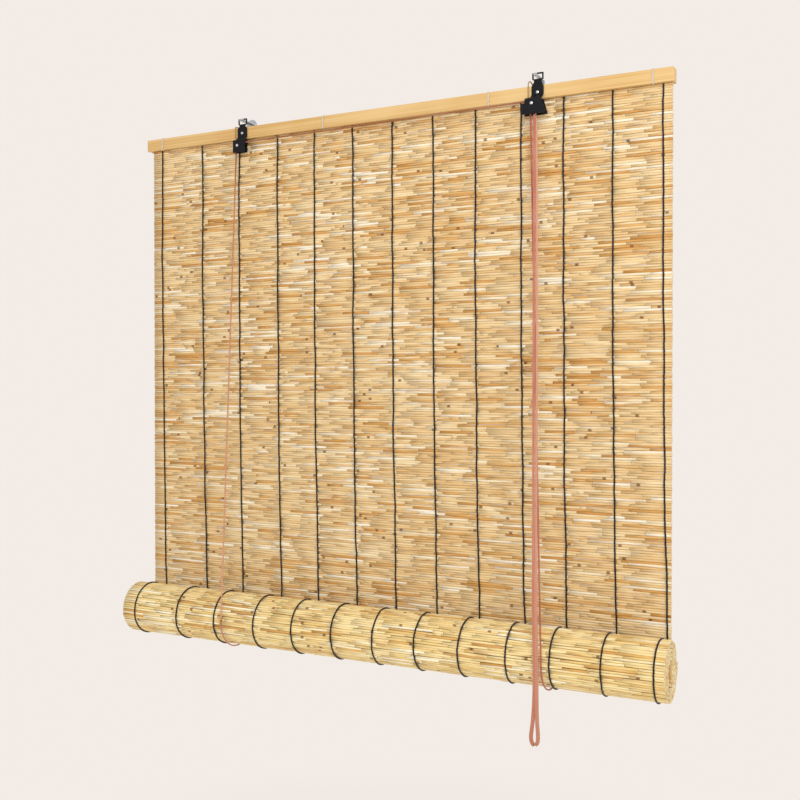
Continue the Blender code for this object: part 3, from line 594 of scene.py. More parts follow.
@dataclass(frozen=True)
class BraidedCord:
    """Braided polyester cord, dyed and sun-faded: dull salmon with a fine herringbone.

    Attributes:
        name: The material's name.
        dye_and_shade: (share along the cord, colour) pairs: the dye, and painted shade on some
            cords.
        stitches: Widths of cord that one stitch takes; drawn coarser than the real 0.4.
    """

    name: str
    dye_and_shade: tuple[tuple[float, str], ...]
    stitches: float = 0.9

    def build(self) -> bpy.types.Material:
        """Makes the material, which follows the cord's own UV map and share."""
        material = new_material(self.name, 0.8)
        tree = material.node_tree
        add = partial(add_node, tree)
        shader = tree.nodes["Principled BSDF"]
        place = add("ShaderNodeTexCoord")
        share = add("ShaderNodeAttribute", {"attribute_name": "share"})
        parts = add("ShaderNodeSeparateXYZ", None, {0: place.outputs["UV"]})
        waves = []
        for strands in (2.0, -2.0):
            around = add(
                "ShaderNodeMath",
                {"operation": "MULTIPLY"},
                {0: parts.outputs["Y"], 1: 2 * math.pi * strands},
            )
            phase = add(
                "ShaderNodeMath",
                {"operation": "MULTIPLY_ADD"},
                {0: parts.outputs["X"], 1: 2 * math.pi / self.stitches, 2: around},
            )
            waves.append(add("ShaderNodeMath", {"operation": "COSINE"}, {0: phase}))
        braid = add("ShaderNodeMath", {"operation": "MAXIMUM"}, {0: waves[0], 1: waves[1]})
        groove = add(
            "ShaderNodeMapRange",
            None,
            {"Value": braid, "From Min": -0.4, "From Max": 0.5, "To Min": 0.5, "To Max": 0.0},
        )
        dyed = add("ShaderNodeValToRGB", {"stops": self.dye_and_shade}, {"Fac": share.outputs["Fac"]})
        worn = add(
            "ShaderNodeTexNoise",
            None,
            {"Vector": place.outputs["Object"], "Scale": 18.0, "Detail": 3.0},
        )
        fade = add(
            "ShaderNodeMapRange",
            None,
            {"Value": worn.outputs["Fac"], "From Min": 0.45, "From Max": 0.75, "To Max": 0.4},
        )
        faded = add(
            "ShaderNodeMix",
            {"data_type": "RGBA"},
            {0: fade.outputs["Result"], 6: dyed.outputs["Color"], 7: linear("#DDA893")},
        )
        # Painted shade: the braid's grooves are coloured towards dark red #8E4436.
        colour = add(
            "ShaderNodeMix",
            {"data_type": "RGBA"},
            {0: groove.outputs["Result"], 6: faded.outputs[2], 7: linear("#8E4436")},
        )
        bump = add("ShaderNodeBump", None, {"Strength": 0.6, "Distance": 0.0004, "Height": braid})
        tree.links.new(colour.outputs[2], shader.inputs["Base Color"])
        tree.links.new(bump.outputs[0], shader.inputs["Normal"])
        shader.inputs["Sheen Weight"].default_value = 0.2
        return material


@dataclass(frozen=True)
class CoatedSheet:
    """A hard, even coat or a moulded skin: nearly one colour, with a faint mottle and ripple.

    Attributes:
        name: The material's name.
        base: Main colour.
        worn: Colour where it is rubbed or dusty.
        roughness: (smoothest, roughest).
        metallic: 1 for a bare metal surface.
        mottle: Size of the mottle in metres.
        wear: How strongly the worn colour shows.
        gloss: The shader's specular level where the surface isn't metal.
    """

    name: str
    base: str
    worn: str
    roughness: tuple[float, float]
    metallic: float = 0.0
    mottle: float = 0.004
    wear: float = 0.35
    gloss: float = 0.18

    def build(self) -> bpy.types.Material:
        """Makes the material on Object coordinates."""
        material = new_material(self.name, self.roughness[0], self.metallic)
        tree = material.node_tree
        add = partial(add_node, tree)
        shader = tree.nodes["Principled BSDF"]
        if not self.metallic:
            shader.inputs["Specular IOR Level"].default_value = self.gloss
        place = add("ShaderNodeTexCoord").outputs["Object"]
        mottle = add(
            "ShaderNodeTexNoise",
            None,
            {"Vector": place, "Scale": 1 / self.mottle, "Detail": 4.0, "Roughness": 0.65},
        )
        worn = add(
            "ShaderNodeMapRange",
            None,
            {
                "Value": mottle.outputs["Fac"],
                "From Min": 0.5,
                "From Max": 0.72,
                "To Max": self.wear,
            },
        )
        colour = add(
            "ShaderNodeMix",
            {"data_type": "RGBA"},
            {0: worn.outputs["Result"], 6: linear(self.base), 7: linear(self.worn)},
        )
        rough = add(
            "ShaderNodeMapRange", None, {"Value": mottle.outputs["Fac"], "From Min": 0.35,
            "From Max": 0.7, "To Min": self.roughness[0], "To Max": self.roughness[1]}
        )
        bump = add(
            "ShaderNodeBump",
            None,
            {"Strength": 0.15, "Distance": 0.0002, "Height": mottle.outputs["Fac"]},
        )
        tree.links.new(colour.outputs[2], shader.inputs["Base Color"])
        tree.links.new(rough.outputs["Result"], shader.inputs["Roughness"])
        tree.links.new(bump.outputs[0], shader.inputs["Normal"])
        return material


class Stock(Enum):
    """The finishes that the blind is made of."""

    REED = DriedReed(
        "dried_reed",
        (
            (0.0, "#C8924A"),
            (1.0, "#F4EDDA"),
            (0.08, "#D5A560"),
            (0.14, "#DDBA81"),
            (0.5, "#E4C894"),
            (0.86, "#EAD4A6"),
            (0.93, "#F0E5C8"),
        ),
    )
    # The rolled part has yellower, paler tones, and stronger, darker painted shade where its stems
    # part on the curve.
    ROLLED_REED = DriedReed(
        "rolled_reed",
        (
            (0.0, "#CB9850"),
            (1.0, "#FFFAE0"),
            (0.06, "#DEB266"),
            (0.13, "#EBCE87"),
            (0.5, "#F3DC9E"),
            (0.86, "#F7E5AC"),
            (0.94, "#FCF2CD"),
        ),
        seam_shade=0.85,
        seam_shade_reach=0.62,
        seam_shade_colour="#8A5522",
    )
    BAMBOO = BambooBatten()
    COTTON = TwistedThread("cream_cotton", "#F6EFE0", "#CFC0A0", 2, 2.5)
    WARP = TwistedThread("black_warp_thread", "#130E0B", "#050302", 2, 1.6)
    TWINE = TwistedThread("tan_jute_twine", "#D2A972", "#8F6A3D", 3, 2.2)
    RUST = BraidedCord("rust_braid", ((0.0, "#B8604E"), (1.0, "#B8604E")))
    # The cross cord runs along the rail's lower edge: its darker brown is the lift cord's red with
    # painted shade from the rail.
    RAIL_SHADED = BraidedCord("rail_shaded_braid", ((0.0, "#98602F"), (1.0, "#98602F")))
    FADED = BraidedCord("faded_braid", ((0.0, "#8A5230"), (1.0, "#DFA683"), (0.1, "#C4855E")))
    # The pull loop's left leg is painted darker red, painted shade, and its right leg paler; it is
    # darker again at the loop's bottom.
    PULL = BraidedCord(
        "pull_braid",
        (
            (0.0, "#C06F58"),
            (1.0, "#D9A68A"),
            (0.46, "#C48067"),
            (0.5, "#B2714F"),
            (0.54, "#C98B72"),
        ),
    )
    # Stove enamel on pressed steel: near black, satin, dull where fingers rub it.
    ENAMEL = CoatedSheet("black_enamel", "#111116", "#26262D", (0.42, 0.6), 0.0, 0.005, 0.4)
    # Moulded nylon: softer gloss, slightly greyer.
    NYLON = CoatedSheet("black_nylon", "#232326", "#3A3A3C", (0.45, 0.6), 0.0, 0.003, 0.3)
    # Bright zinc plate on turned rivets and screws.
    ZINC = CoatedSheet("bright_zinc", "#DADDE0", "#A9ADB2", (0.22, 0.38), 1.0, 0.003, 0.5)
    # Hot-dip galvanised sheet: grey spangle a few millimetres across.
    GALVANISED = CoatedSheet("galvanised_sheet", "#C3C9CE", "#8E959C", (0.3, 0.5), 1.0, 0.006, 0.7)


class Materials:
    """Makes each finish once and dresses the carried-over nodes with them."""

    def __init__(self, nodes: dict[str, bpy.types.Object]) -> None:
        """Starts with nothing made.

        Args:
            nodes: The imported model's nodes by name.
        """
        self.nodes = nodes
        self.made: dict[Stock, bpy.types.Material] = {}

    def of(self, stock: Stock) -> bpy.types.Material:
        """The material of a finish, made on first use."""
        if stock not in self.made:
            self.made[stock] = stock.value.build()
        return self.made[stock]

    def dress(self, name: str, stock: Stock) -> None:
        """Gives a carried-over node a finish.

        Args:
            name: The node's name.
            stock: Its finish.
        """
        node = self.nodes[name]
        if not node.material_slots:
            node.data.materials.append(self.of(stock))
        for slot in node.material_slots:
            slot.material = self.of(stock)
        LOG.info("%s: %s", name, stock.name.lower())


# ---------------------------------------------------------------- node-built pieces


class RuleTree:
    """A geometry node tree with named inputs, run once on a mesh to make a plain mesh."""

    def __init__(self, name: str, sizes: dict[str, float | int]) -> None:
        """Starts the tree.

        Args:
            name: The tree's name.
            sizes: Its named inputs and their values.
        """
        self.tree = bpy.data.node_groups.new(name, "GeometryNodeTree")
        face = self.tree.interface
        face.new_socket("Path", in_out="INPUT", socket_type="NodeSocketGeometry")
        face.new_socket("Mesh", in_out="OUTPUT", socket_type="NodeSocketGeometry")
        self.values: dict[str, float | int] = {}
        for size, value in sizes.items():
            kind = "NodeSocketInt" if isinstance(value, int) else "NodeSocketFloat"
            socket = face.new_socket(size, in_out="INPUT", socket_type=kind)
            self.values[socket.identifier] = value
        face.new_socket("Material", in_out="INPUT", socket_type="NodeSocketMaterial")
        self.start = add_node(self.tree, "NodeGroupInput")

    def size(self, name: str) -> bpy.types.NodeSocket:
        """The socket of a named input."""
        return self.start.outputs[name]

    def finish(self, geometry: bpy.types.NodeSocket) -> None:
        """Ends the tree: realised instances, then the material."""
        real = add_node(self.tree, "GeometryNodeRealizeInstances", None, {0: geometry})
        dressed = add_node(
            self.tree, "GeometryNodeSetMaterial", None, {"Geometry": real,
            "Material": self.start.outputs["Material"]}
        )
        add_node(self.tree, "NodeGroupOutput", None, {0: dressed})

    def run(
        self, name: str, path: bpy.types.Mesh, material: bpy.types.Material
    ) -> bpy.types.Object:
        """Runs the tree on a path.

        Args:
            name: The new piece's name.
            path: The mesh that the tree starts from.
            material: The material that it sets.

        Returns:
            The piece, a plain mesh without modifiers.
        """
        guide = bpy.data.objects.new(name + "_guide", path)
        bpy.context.scene.collection.objects.link(guide)
        modifier = guide.modifiers.new("rule", "NODES")
        modifier.node_group = self.tree
        for identifier, value in self.values.items():
            modifier[identifier] = value
        last = self.tree.interface.items_tree["Material"].identifier
        modifier[last] = material
        graph = bpy.context.evaluated_depsgraph_get()
        mesh = bpy.data.meshes.new_from_object(
            guide.evaluated_get(graph), preserve_all_data_layers=True, depsgraph=graph
        )
        mesh.name = name
        bpy.data.objects.remove(guide, do_unlink=True)
        bpy.data.meshes.remove(path)
        bpy.data.node_groups.remove(self.tree)
        return piece_from(name, mesh, material)


@dataclass(frozen=True)
class ReedRows:
    """Rows of reed stems laid side by side along a path, each row of several stems end to end.

    Attributes:
        pitch: Distance from row to row.
        width: Length of a row.
        thickness: Depth of a stem.
        stems: Number of stems in a row.
        slant: How far a stem may lean, as a slope.
        seed: Seed of every random value.
    """

    pitch: float = 0.0047
    width: float = 1.2
    thickness: float = 0.0050
    stems: int = 18
    slant: float = 0.015
    seed: int = 3

    def build(self, name: str, path: np.ndarray, material: bpy.types.Material) -> bpy.types.Object:
        """Builds the rows.

        Args:
            name: The piece's name.
            path: Line through the rows' middles.
            material: The reeds' material.

        Returns:
            The piece.
        """
        rule = RuleTree(
            "reed_rows",
            {
                "Row pitch": self.pitch,
                "Row width": self.width,
                "Stem thickness": self.thickness,
                "Stems": self.stems,
                "Slant": self.slant,
                "Seed": self.seed,
            },
        )
        tree = rule.tree
        add = partial(add_node, tree)
        curve = add("GeometryNodeMeshToCurve", None, {0: rule.start.outputs["Path"]})
        rows = add(
            "GeometryNodeCurveToPoints",
            {"mode": "LENGTH"},
            {"Curve": curve, "Length": rule.size("Row pitch")},
        )
        row = add("GeometryNodeInputIndex")
        numbered = add(
            "GeometryNodeStoreNamedAttribute",
            {"data_type": "INT", "domain": "POINT"},
            {"Geometry": rows.outputs["Points"], "Name": "row", "Value": row},
        )
        aimed = add(
            "GeometryNodeStoreNamedAttribute", {"data_type": "FLOAT_VECTOR", "domain": "POINT"},
            {"Geometry": numbered, "Name": "down", "Value": rows.outputs["Tangent"]}
        )
        copies = add(
            "GeometryNodeDuplicateElements",
            {"domain": "POINT"},
            {"Geometry": aimed, "Amount": rule.size("Stems")},
        )
        placed = add(
            "GeometryNodeStoreNamedAttribute", {"data_type": "INT", "domain": "POINT"},
            {"Geometry": copies, "Name": "stem", "Value": copies.outputs["Duplicate Index"]}
        )
        row_number = add("GeometryNodeInputNamedAttribute", {"data_type": "INT"}, {"Name": "row"})
        stem_number = add("GeometryNodeInputNamedAttribute", {"data_type": "INT"}, {"Name": "stem"})
        down = add(
            "GeometryNodeInputNamedAttribute", {"data_type": "FLOAT_VECTOR"}, {"Name": "down"}
        )
        seats = add("ShaderNodeMath", {"operation": "ADD"}, {0: rule.size("Stems"), 1: 1.0})
        identity = add(
            "ShaderNodeMath",
            {"operation": "MULTIPLY_ADD"},
            {0: row_number, 1: seats, 2: stem_number},
        )
        ends = []
        for ahead in (0.0, 1.0):
            number = add("ShaderNodeMath", {"operation": "ADD"}, {0: stem_number, 1: ahead})
            key = add("ShaderNodeMath", {"operation": "ADD"}, {0: identity, 1: ahead})
            jump = add(
                "FunctionNodeRandomValue",
                {"data_type": "FLOAT"},
                {2: -0.46, 3: 0.46, "ID": key, "Seed": rule.size("Seed")},
            )
            from_start = add("ShaderNodeMath", {"operation": "GREATER_THAN"}, {0: number, 1: 0.5})
            room = add(
                "ShaderNodeMath", {"operation": "SUBTRACT"}, {0: rule.size("Stems"), 1: number}
            )
            from_end = add("ShaderNodeMath", {"operation": "GREATER_THAN"}, {0: room, 1: 0.5})
            inside = add("ShaderNodeMath", {"operation": "MULTIPLY"}, {0: from_start, 1: from_end})
            # A row's two outer ends are trimmed: they differ by a millimetre or so only.
            freedom = add(
                "ShaderNodeMapRange", None, {"Value": inside, "To Min": 0.018, "To Max": 1.0}
            )
            shifted = add(
                "ShaderNodeMath",
                {"operation": "MULTIPLY_ADD"},
                {0: jump.outputs[1], 1: freedom, 2: number},
            )
            share = add(
                "ShaderNodeMath", {"operation": "DIVIDE"}, {0: shifted, 1: rule.size("Stems")}
            )
            centred = add("ShaderNodeMath", {"operation": "SUBTRACT"}, {0: share, 1: 0.5})
            ends.append(
                add("ShaderNodeMath", {"operation": "MULTIPLY"},
                {0: centred, 1: rule.size("Row width")})
            )
        both = add("ShaderNodeMath", {"operation": "ADD"}, {0: ends[0], 1: ends[1]})
        middle = add("ShaderNodeMath", {"operation": "MULTIPLY"}, {0: both, 1: 0.5})
        span = add("ShaderNodeMath", {"operation": "SUBTRACT"}, {0: ends[1], 1: ends[0]})
        # Half a millimetre is left between two stems' ends.
        length = add("ShaderNodeMath", {"operation": "SUBTRACT"}, {0: span, 1: 0.0005})
        random: dict[str, bpy.types.NodeSocket] = {}
        spreads = {
            "lean": (-1.0, 1.0, 11),
            "height": (0.98, 1.2, 12),
            "depth": (0.8, 0.98, 13),
            "proud": (-0.00025, 0.00025, 14),
            "tone": (0.0, 1.0, 15),
            "drift": (-0.0004, 0.0004, 16),
        }
        for what, (low, high, offset) in spreads.items():
            seed = add(
                "ShaderNodeMath", {"operation": "ADD"}, {0: rule.size("Seed"), 1: float(offset)}
            )
            value = add(
                "FunctionNodeRandomValue",
                {"data_type": "FLOAT"},
                {2: low, 3: high, "ID": identity, "Seed": seed},
            )
            random[what] = value.outputs[1]
        lean = add(
            "ShaderNodeMath", {"operation": "MULTIPLY"}, {0: random["lean"], 1: rule.size("Slant")}
        )
        leaning = add("ShaderNodeVectorMath", {"operation": "SCALE"}, {0: down, "Scale": lean})
        lying = add("ShaderNodeVectorMath", {"operation": "ADD"}, {0: leaning, 1: (1.0, 0.0, 0.0)})
        turn = add(
            "FunctionNodeAxesToRotation",
            {"primary_axis": "X", "secondary_axis": "Z"},
            {0: lying, 1: down},
        )
        outward = add(
            "ShaderNodeVectorMath", {"operation": "CROSS_PRODUCT"}, {0: down, 1: (1.0, 0.0, 0.0)}
        )
        proud = add(
            "ShaderNodeVectorMath", {"operation": "SCALE"}, {0: outward, "Scale": random["proud"]}
        )
        drift = add(
            "ShaderNodeVectorMath", {"operation": "SCALE"}, {0: down, "Scale": random["drift"]}
        )
        sideways = add("ShaderNodeCombineXYZ", None, {"X": middle})
        stray = add("ShaderNodeVectorMath", {"operation": "ADD"}, {0: proud, 1: drift})
        offset = add("ShaderNodeVectorMath", {"operation": "ADD"}, {0: stray, 1: sideways})
        moved = add("GeometryNodeSetPosition", None, {"Geometry": placed, "Offset": offset})
        stem = self._stem(tree)
        tall = add(
            "ShaderNodeMath",
            {"operation": "MULTIPLY"},
            {0: random["height"], 1: rule.size("Row pitch")},
        )
        deep = add(
            "ShaderNodeMath",
            {"operation": "MULTIPLY"},
            {0: random["depth"], 1: rule.size("Stem thickness")},
        )
        scale = add("ShaderNodeCombineXYZ", None, {"X": length, "Y": deep, "Z": tall})
        toned = add(
            "GeometryNodeStoreNamedAttribute",
            {"data_type": "FLOAT", "domain": "POINT"},
            {"Geometry": moved, "Name": "tone", "Value": random["tone"]},
        )
        laid = add(
            "GeometryNodeInstanceOnPoints", None, {"Points": toned, "Instance": stem,
            "Rotation": turn, "Scale": scale}
        )
        rule.finish(laid.outputs[0])
        return rule.run(name, lines_mesh(name + "_path", [path]), material)

    @staticmethod
    def _stem(tree: bpy.types.NodeTree) -> bpy.types.NodeSocket:
        """Adds one stem of unit length and diameter along X, with its flank and rim values.

        Args:
            tree: The tree that gets the nodes.

        Returns:
            The stem's geometry socket.
        """
        add = partial(add_node, tree)
        tube = add(
            "GeometryNodeMeshCylinder",
            {"fill_type": "TRIANGLE_FAN"},
            {"Vertices": 8, "Radius": 0.5, "Depth": 1.0},
        )
        place = add("GeometryNodeInputPosition")
        parts = add("ShaderNodeSeparateXYZ", None, {0: place})
        high = add("ShaderNodeMath", {"operation": "ABSOLUTE"}, {0: parts.outputs["X"]})
        flank = add("ShaderNodeMath", {"operation": "MULTIPLY"}, {0: high, 1: 2.0})
        flat = add(
            "ShaderNodeVectorMath", {"operation": "MULTIPLY"}, {0: place, 1: (2.0, 2.0, 0.0)}
        )
        rim = add("ShaderNodeVectorMath", {"operation": "LENGTH"}, {0: flat})
        smooth = add(
            "GeometryNodeSetShadeSmooth",
            {"domain": "FACE"},
            {"Geometry": tube.outputs["Mesh"], "Selection": tube.outputs["Side"]},
        )
        flat_ends = add(
            "GeometryNodeSetShadeSmooth",
            {"domain": "FACE"},
            {"Geometry": smooth, "Selection": tube.outputs["Top"], "Shade Smooth": False},
        )
        both_flat = add(
            "GeometryNodeSetShadeSmooth", {"domain": "FACE"}, {"Geometry": flat_ends,
            "Selection": tube.outputs["Bottom"], "Shade Smooth": False}
        )
        geometry = both_flat.outputs[0]
        for name, value in (("flank", flank.outputs[0]), ("rim", rim.outputs["Value"])):
            stored = add(
                "GeometryNodeStoreNamedAttribute",
                {"data_type": "FLOAT", "domain": "POINT"},
                {"Geometry": geometry, "Name": name, "Value": value},
            )
            geometry = stored.outputs[0]
        along_x = add(
            "GeometryNodeTransform",
            None,
            {"Geometry": geometry, "Rotation": (0.0, math.pi / 2, 0.0)},
        )
        return along_x.outputs[0]


@dataclass(frozen=True)
class WarpThreads:
    """Warp cords woven over the reeds: a wandering thread with a small knot over each pair.

    Attributes:
        knot_spacing: Distance between knots.
        radius: Radius of the thread.
        wander: How far the thread strays to each side.
        wave: Length over which it strays.
        knot: (across, along, deep) size of a knot.
        seed: Seed of every random value.
    """

    knot_spacing: float = 0.0076
    radius: float = 0.0016
    wander: float = 0.0018
    wave: float = 0.11
    knot: Point = (0.0036, 0.0036, 0.0028)
    seed: int = 5

    def build(
        self, name: str, lines: Sequence[np.ndarray], material: bpy.types.Material
    ) -> bpy.types.Object:
        """Builds the threads.

        Args:
            name: The piece's name.
            lines: The threads' straight courses.
            material: Their material.

        Returns:
            The piece.
        """
        rule = RuleTree(
            "warp_threads",
            {
                "Knot spacing": self.knot_spacing,
                "Thread radius": self.radius,
                "Wander": self.wander,
                "Wave length": self.wave,
                "Seed": self.seed,
            },
        )
        tree = rule.tree
        add = partial(add_node, tree)
        curve = add("GeometryNodeMeshToCurve", None, {0: rule.start.outputs["Path"]})
        spaced = add(
            "GeometryNodeResampleCurve",
            {"mode": "LENGTH"},
            {"Curve": curve, "Length": rule.size("Knot spacing")},
        )
        place = add("GeometryNodeInputPosition")
        wave = rule.size("Wave length")
        per_wave = add("ShaderNodeMath", {"operation": "DIVIDE"}, {0: 1.0, 1: wave})
        scaled = add("ShaderNodeVectorMath", {"operation": "SCALE"}, {0: place, "Scale": per_wave})
        # Neighbouring threads stray differently, so X counts for much more than height.
        skewed = add(
            "ShaderNodeVectorMath", {"operation": "MULTIPLY"}, {0: scaled, 1: (9.0, 1.0, 1.0)}
        )
        stray = add(
            "ShaderNodeTexNoise",
            None,
            {"Vector": skewed, "Scale": 1.0, "Detail": 2.5, "Roughness": 0.62},
        )
        centred = add(
            "ShaderNodeMapRange", {"clamp": False}, {"Value": stray.outputs["Fac"],
            "From Min": 0.25, "From Max": 0.75, "To Min": -1.0, "To Max": 1.0}
        )
        wide = add(
            "ShaderNodeMath", {"operation": "MULTIPLY"}, {0: centred, 1: rule.size("Wander")}
        )
        kink = add(
            "FunctionNodeRandomValue",
            {"data_type": "FLOAT"},
            {2: -0.00028, 3: 0.00028, "Seed": rule.size("Seed")},
        )
        sideways = add("ShaderNodeMath", {"operation": "ADD"}, {0: wide, 1: kink.outputs[1]})
        offset = add("ShaderNodeCombineXYZ", None, {"X": sideways})
        strayed = add("GeometryNodeSetPosition", None, {"Geometry": spaced, "Offset": offset})
        section = add(
            "GeometryNodeCurvePrimitiveCircle",
            None,
            {"Resolution": 6, "Radius": rule.size("Thread radius")},
        )
        thread = add(
            "GeometryNodeCurveToMesh",
            None,
            {"Curve": strayed, "Profile Curve": section, "Fill Caps": True},
        )
        knots_at = add("GeometryNodeCurveToPoints", {"mode": "EVALUATED"}, {"Curve": strayed})
        turn = add(
            "FunctionNodeAxesToRotation",
            {"primary_axis": "X", "secondary_axis": "Z"},
            {0: (1.0, 0.0, 0.0), 1: knots_at.outputs["Tangent"]},
        )
        bead = add("GeometryNodeMeshUVSphere", None, {"Segments": 6, "Rings": 4, "Radius": 0.5})
        size = add(
            "FunctionNodeRandomValue",
            {"data_type": "FLOAT"},
            {2: 0.82, 3: 1.15, "Seed": rule.size("Seed")},
        )
        across, along, deep = self.knot
        scale = add(
            "ShaderNodeVectorMath",
            {"operation": "SCALE"},
            {0: (across, deep, along), "Scale": size.outputs[1]},
        )
        knots = add(
            "GeometryNodeInstanceOnPoints", None, {"Points": knots_at.outputs["Points"],
            "Instance": bead.outputs["Mesh"], "Rotation": turn, "Scale": scale}
        )
        both = add("GeometryNodeJoinGeometry", None, {0: knots})
        tree.links.new(thread.outputs[0], both.inputs[0])
        smooth = add("GeometryNodeSetShadeSmooth", None, {"Geometry": both})
        rule.finish(smooth.outputs[0])
        return rule.run(name, lines_mesh(name + "_path", lines), material)


# ---------------------------------------------------------------- the blind's sizes


@dataclass(frozen=True)
class Travel:
    """How the pieces that can't follow the rising roll are put on the head rail.

    Attributes:
        joint: The joint that raises the roll.
        distance: Its whole travel.
    """

    joint: str = "roll_lift"
    distance: float = 0.925

    def shorten(self, piece: bpy.types.Object, anchor: Point, foot: float) -> None:
        """Puts a piece on the head rail and gives it a mesh of its own.

        Args:
            piece: The piece, which rides on the head rail.
            anchor: The point that stays; not used.
            foot: Height of its lowest point at rest; not used.
        """
        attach(piece, "head_rail")
        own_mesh(piece)


@dataclass
class ReedSheet:
    """The hanging sheet of reeds with its warp cords.

    Attributes:
        materials: The shared finishes.
        travel: What puts its pieces on the head rail.
        warp_seat: How far a warp's middle stands in front of the reeds.
        strays: How far right of its place a warp was knotted, by its number.
        warps: X of each warp, from the left.
    """

    materials: Materials
    travel: Travel
    warp_seat: float = 0.0010
    strays: dict[int, float] = field(
        default_factory=lambda: {3: -0.0015, 4: 0.0015, 10: 0.0035, 11: -0.003, 13: 0.002}
    )
    warps: list[float] = field(default_factory=list)

    def __post_init__(self) -> None:
        """Reads the sheet's box and the warps' places from the frame."""
        self.low, self.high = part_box("reed_sheet")
        for number in range(1, 14):
            low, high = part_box(f"warp_cord_{number:02}")
            self.warps.append((low[0] + high[0]) / 2 + self.strays.get(number, 0.0))
        self.warp_top = high[2]

    def build(self) -> None:
        """Builds the reeds and the warps in front of and behind them."""
        middle = (self.low[1] + self.high[1]) / 2
        rows = ReedRows(width=self.high[0] - self.low[0])
        half = rows.pitch / 2
        x = (self.low[0] + self.high[0]) / 2
        path = np.array([(x, middle, self.high[2] - half), (x, middle, self.low[2] + half)])
        reeds = rows.build("hanging_reeds", path, self.materials.of(Stock.REED))
        self.travel.shorten(reeds, (0, middle, self.high[2]), self.low[2])
        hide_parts("reed_sheet")
        report(reeds)
        sides = {
            "front_warps": self.low[1] - self.warp_seat,
            "rear_warps": self.high[1] + self.warp_seat / 2,
        }
        for name, y in sides.items():
            threads = WarpThreads(seed=5 if name == "front_warps" else 6)
            lines = [self._course(x, y) for x in self.warps]
            piece = threads.build(name, lines, self.materials.of(Stock.WARP))
            self.travel.shorten(piece, (0, y, self.warp_top), self.low[2])
            if name == "front_warps":
                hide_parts(*[f"warp_cord_{n:02}" for n in range(1, 14)])
            report(piece)

    def _course(self, x: float, y: float) -> np.ndarray:
        """A warp's course down the sheet, which strays to the right towards the roll."""
        share = np.linspace(0, 1, 24)
        z = self.warp_top + (self.low[2] - self.warp_top) * share
        return np.stack([x - 0.003 + 0.011 * share**2.5, np.full_like(z, y), z], axis=1)


@dataclass
class RolledReeds:
    """The rolled-up part of the sheet with its warp cords.

    Attributes:
        materials: The shared finishes.
        warps: X of each warp cord.
        radius: Radius of the roll at its start.
        turns: Number of turns.
        gap: Between one turn's back and the next turn's face.
        thickness: Thickness of the sheet.
        skew: How far right the warps lie on the outer turn, as the roll winds slightly askew.
        warp_seat: How far a warp's middle stands out from the reeds.
        warp_end: Angle at which a warp passes inside.
    """

    materials: Materials
    warps: list[float]
    radius: float = 0.0585
    turns: float = 5.25
    gap: float = 0.0023
    thickness: float = 0.005
    skew: float = 0.006
    warp_seat: float = 0.0010
    warp_end: float = math.radians(330)

    def __post_init__(self) -> None:
        """Reads the roll's width and axis from the frame."""
        low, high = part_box("reed_roll")
        self.width = high[0] - low[0]
        self.axis = (high[1] - self.radius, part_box("reed_sheet")[0][2] - 0.0003)

    def winding(self, depth: float, end: float, x: float = 0.0) -> np.ndarray:
        """Points along the winding, from the back, down and round to the front.

        Args:
            depth: How far under the outer face the line lies.
            end: Angle at which it ends.
            x: Its place along the roll.

        Returns:
            The points, one row each.
        """
        angle = np.linspace(0, end, max(24, int(end / math.radians(4))))
        radius = self.radius - depth - (self.thickness + self.gap) * angle / (2 * math.pi)
        y = self.axis[0] + radius * np.cos(angle)
        z = self.axis[1] - radius * np.sin(angle)
        return np.stack([np.full_like(y, x), y, z], axis=1)

    def build(self) -> None:
        """Builds the reeds and the warps round them."""
        rows = ReedRows(width=self.width, seed=29)
        path = self.winding(self.thickness / 2, 2 * math.pi * self.turns)
        reeds = rows.build("rolled_reeds", path, self.materials.of(Stock.ROLLED_REED))
        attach(reeds, "roll")
        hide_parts("reed_roll")
        report(reeds)
        lines = [self.winding(-self.warp_seat, self.warp_end, x + self.skew) for x in self.warps]
        threads = WarpThreads(seed=8, wander=0.0012)
        warps = threads.build("rolled_warps", lines, self.materials.of(Stock.WARP))
        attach(warps, "roll")
        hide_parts(*[f"roll_warp_{n:02}" for n in range(1, 14)])
        report(warps)


